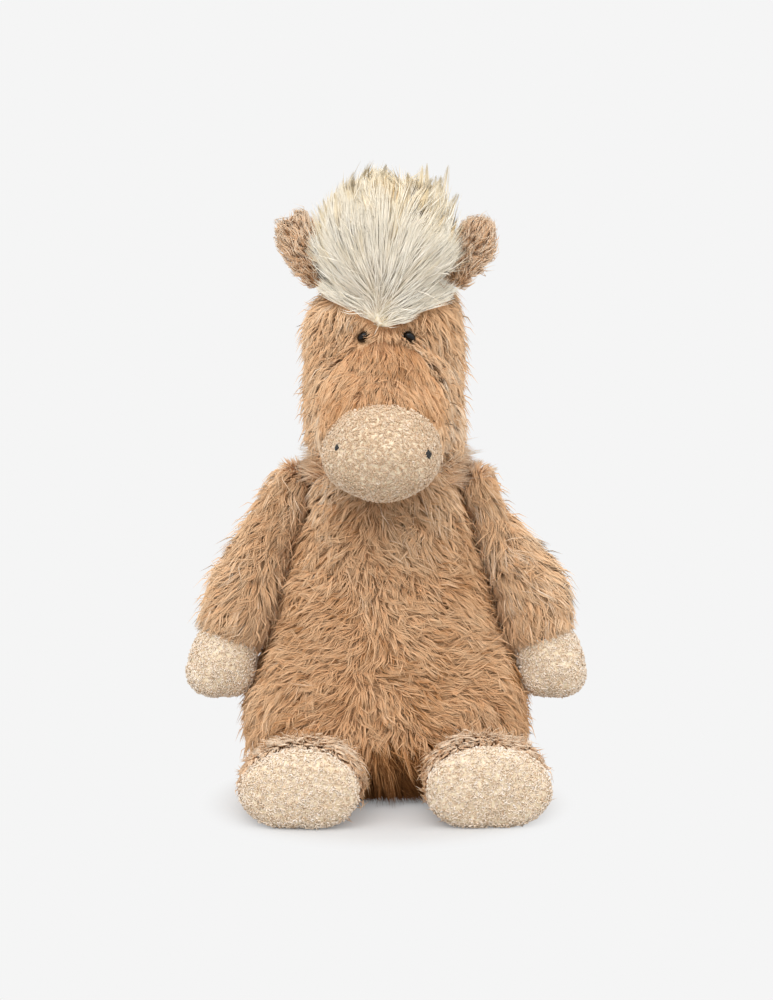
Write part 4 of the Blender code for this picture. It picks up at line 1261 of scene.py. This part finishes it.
@dataclass
class Leg:
    """A stub of a leg with a bouclé sole."""

    side: Side

    def rim(self, p: Array) -> Array:
        """Fuller round the sole's rim, most of all low at both sides and on the left."""
        swell = 2.0 if self.side is Side.LEFT else 1.0
        z, out, corner = on_disc(p, f"{self.side.word}_sole")
        return -rise(out, 0.6, 0.3) * (swell + 1.6 * (corner * (z < 0.1)))

    def build(self) -> None:
        """Makes the skins, the pile and the loops."""
        word, sign = self.side.word, self.side.value
        body = f"{word}_leg"
        sole = looped_skin(f"{word}_sole_skin", [f"{word}_sole"], body, press=self.rim).build()
        tube = Skin(f"{body}_skin", [f"{body}_cover", f"{body}_filling"], body, 2.4, lumps=0.6).build()
        low, high = node_box(f"{body}_cover")
        middle = (low + high) / 2

        def comb(p: Array) -> Array:
            """Towards the sole and away from the leg's middle."""
            return np.array((0, -0.8, 0)) + unit((p - middle) * np.array((1, 0, 1))) * 0.8

        def reach(p: Array) -> Array:
            """Short by the sole, none inside it or on the floor."""
            gap = sole.gap(p)
            return np.where(gap < SEAM_GAP, 0, np.clip(0.6 + gap / 24, 0.6, 0.95)) * (p[:, 2] > 0.9)

        def tint(p: Array) -> Array:
            """Painted light: paler on top and by the sole, standing in for light through the tips."""
            return rise(p[:, 2], 22, 40, 0, 0.25) + 0.15 * np.clip(1 - sole.gap(p) / 8, 0, 1)

        pile = Pile(
            density=1.42, length=9.0, rise=(3.2, 4.4), width=0.58, lift=20.0, ruffle=12.0, untidy=9.0,
            strays=0.04, tone=0.68, soften=0.0, uneven=0.5,
        )
        pile.grow(f"{body}_fur", tube, comb, 81 + sign, reach, tint=tint)
        Curls(density=0.62, radius=0.7, yarn=0.86).grow(f"{word}_sole_loops", sole, 91 + sign)


@dataclass
class Tail:
    """A tuft of the mane's hair at the back."""

    def comb(self, p: Array) -> Array:
        """Down, and away from the tuft's middle."""
        return ways(p[:, 0] / 22, 0.15, -1.0)

    def reach(self, p: Array) -> Array:
        """Shorter towards the floor."""
        return rise(p[:, 2], 0, 40, 0.35)

    def build(self) -> None:
        """Makes the bed and the hair."""
        bed = Skin("tail_bed", ["tail"], "tail", 2.5, Cloth.HAIR_BACKING, voxel=1.5, fill=None).build()
        pile = Pile(
            density=1.1, length=26.0, rise=(2.6, 4.0), width=0.55, lock=12, gather=0.6, cling=0.6,
            lift=15.0, ruffle=10.0, untidy=10.0, wave=0.5, tone=0.6, soften=0.5, cloth=Cloth.HAIR,
        )
        pile.grow("tail_hair", bed, self.comb, 95, self.reach)


@dataclass
class Fittings:
    """What stays as the frame has it: the sewing thread and the eyes' washers."""

    def build(self) -> None:
        """Gives the frame's own nodes their finishes."""
        finishes = {"neck_seam": Cloth.SEAM}
        for side in Side:
            finishes[f"{side.word}_shoulder_seam"] = Cloth.SEAM
            finishes[f"{side.word}_eye_washer"] = Cloth.WASHER
        for node, cloth in finishes.items():
            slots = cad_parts[node].data.materials
            slots.clear()
            slots.append(cloth.material())
            log.info("%s: %s", node, cloth.value.name)


@dataclass
class Studio:
    """Floor, soft light and camera."""

    backdrop: str = "#F5F5F5"
    board_grey: float = 0.64
    floor_share: float = 0.8  # how much of the floor's seen colour comes from the light on it
    shadow: tuple[float, float] = (0.062, 0.09)  # m from the horse where that share starts and ends falling
    world_light: float = 0.95
    distance: float = 1548.0
    tilt: float = 8.0
    aim: float = 138.3
    lens: float = 115.45

    def floor(self) -> None:
        """Makes the pale floor, which keeps the horse's shadow."""
        bpy.ops.mesh.primitive_plane_add(size=60)
        made = bpy.context.object
        made.name = "studio_floor"
        paint, tree = fresh_material("matt_white_board")
        seen = add_node(tree, "LightPath").outputs["Is Camera Ray"]
        light = add_node(tree, "Emission", {0: linear(self.backdrop)})
        board = add_node(tree, "BsdfDiffuse", {0: (*[self.board_grey] * 3, 1)})
        oval = {0: own_place(tree), 1: (0, 0.04, 0), 3: (1.0, 0.9, 1.0)}
        round_it = add_node(tree, "Mapping", oval, vector_type="POINT")
        off = add_node(tree, "VectorMath", {0: round_it}, operation="LENGTH").outputs[1]
        fade = {0: off, 1: self.shadow[0], 2: self.shadow[1], 3: self.floor_share, 4: 0.0}
        share = add_node(tree, "MapRange", fade, interpolation_type="SMOOTHSTEP")
        shown = add_node(tree, "MixShader", {0: share, 1: light, 2: board})
        both = add_node(tree, "MixShader", {0: seen, 1: board, 2: shown})
        add_node(tree, "OutputMaterial", {0: both})
        made.data.materials.append(paint)

    def light(self) -> None:
        """Makes the even sky light and two wide soft lamps."""
        world = bpy.data.worlds.new("studio_light")
        bpy.context.scene.world = world
        world.use_nodes = True
        tree = world.node_tree
        tree.nodes.clear()
        seen = add_node(tree, "LightPath").outputs
        mirrored = add_node(
            tree, "Math", {0: seen["Is Camera Ray"], 1: seen["Is Glossy Ray"]}, operation="MAXIMUM"
        )
        shown = add_node(tree, "Math", {0: mirrored, 1: seen["Is Transmission Ray"]}, operation="MAXIMUM")
        sky = add_node(tree, "Background", {0: (1, 1, 1, 1), 1: self.world_light})
        plain = add_node(tree, "Background", {0: linear(self.backdrop), 1: 1.0})
        add_node(tree, "OutputWorld", {0: add_node(tree, "MixShader", {0: shown, 1: sky, 2: plain})})
        lamps = {"key": ((-0.35, -0.95, 1.1), 1.5, 50), "fill": ((0.9, -0.7, 0.7), 0.6, 70)}
        for name, (where, strength, soft) in lamps.items():
            lamp = bpy.data.lights.new(name, "SUN")
            lamp.energy, lamp.angle = strength, math.radians(soft)
            made = bpy.data.objects.new(name, lamp)
            made.rotation_euler = Vector(where).to_track_quat("Z", "Y").to_euler()
            bpy.context.scene.collection.objects.link(made)

    def camera(self) -> None:
        """Places the camera at the photograph's angle."""
        lens = bpy.data.cameras.new("camera")
        lens.lens, lens.sensor_width = self.lens, 36.0
        lens.clip_start, lens.clip_end = 0.05, 200.0
        made = bpy.data.objects.new("camera", lens)
        tilt = math.radians(self.tilt)
        made.location = (
            0, -self.distance * MM * math.cos(tilt), (self.aim + self.distance * math.sin(tilt)) * MM
        )
        made.rotation_euler = (math.pi / 2 - tilt, 0, 0)
        bpy.context.scene.collection.objects.link(made)
        bpy.context.scene.camera = made

    def build(self) -> None:
        """Sets up the studio."""
        self.floor()
        self.light()
        self.camera()
        bpy.context.scene.view_settings.view_transform = "Standard"


def main() -> None:
    """Builds the horse and the studio in order."""
    logging.basicConfig(level=logging.INFO, format="%(message)s")
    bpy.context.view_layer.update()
    Studio().build()
    Trunk().build()
    Head().build()
    for side in Side:
        Arm(side).build()
        Leg(side).build()
    Tail().build()
    Fittings().build()


if __name__ == "__main__":
    main()
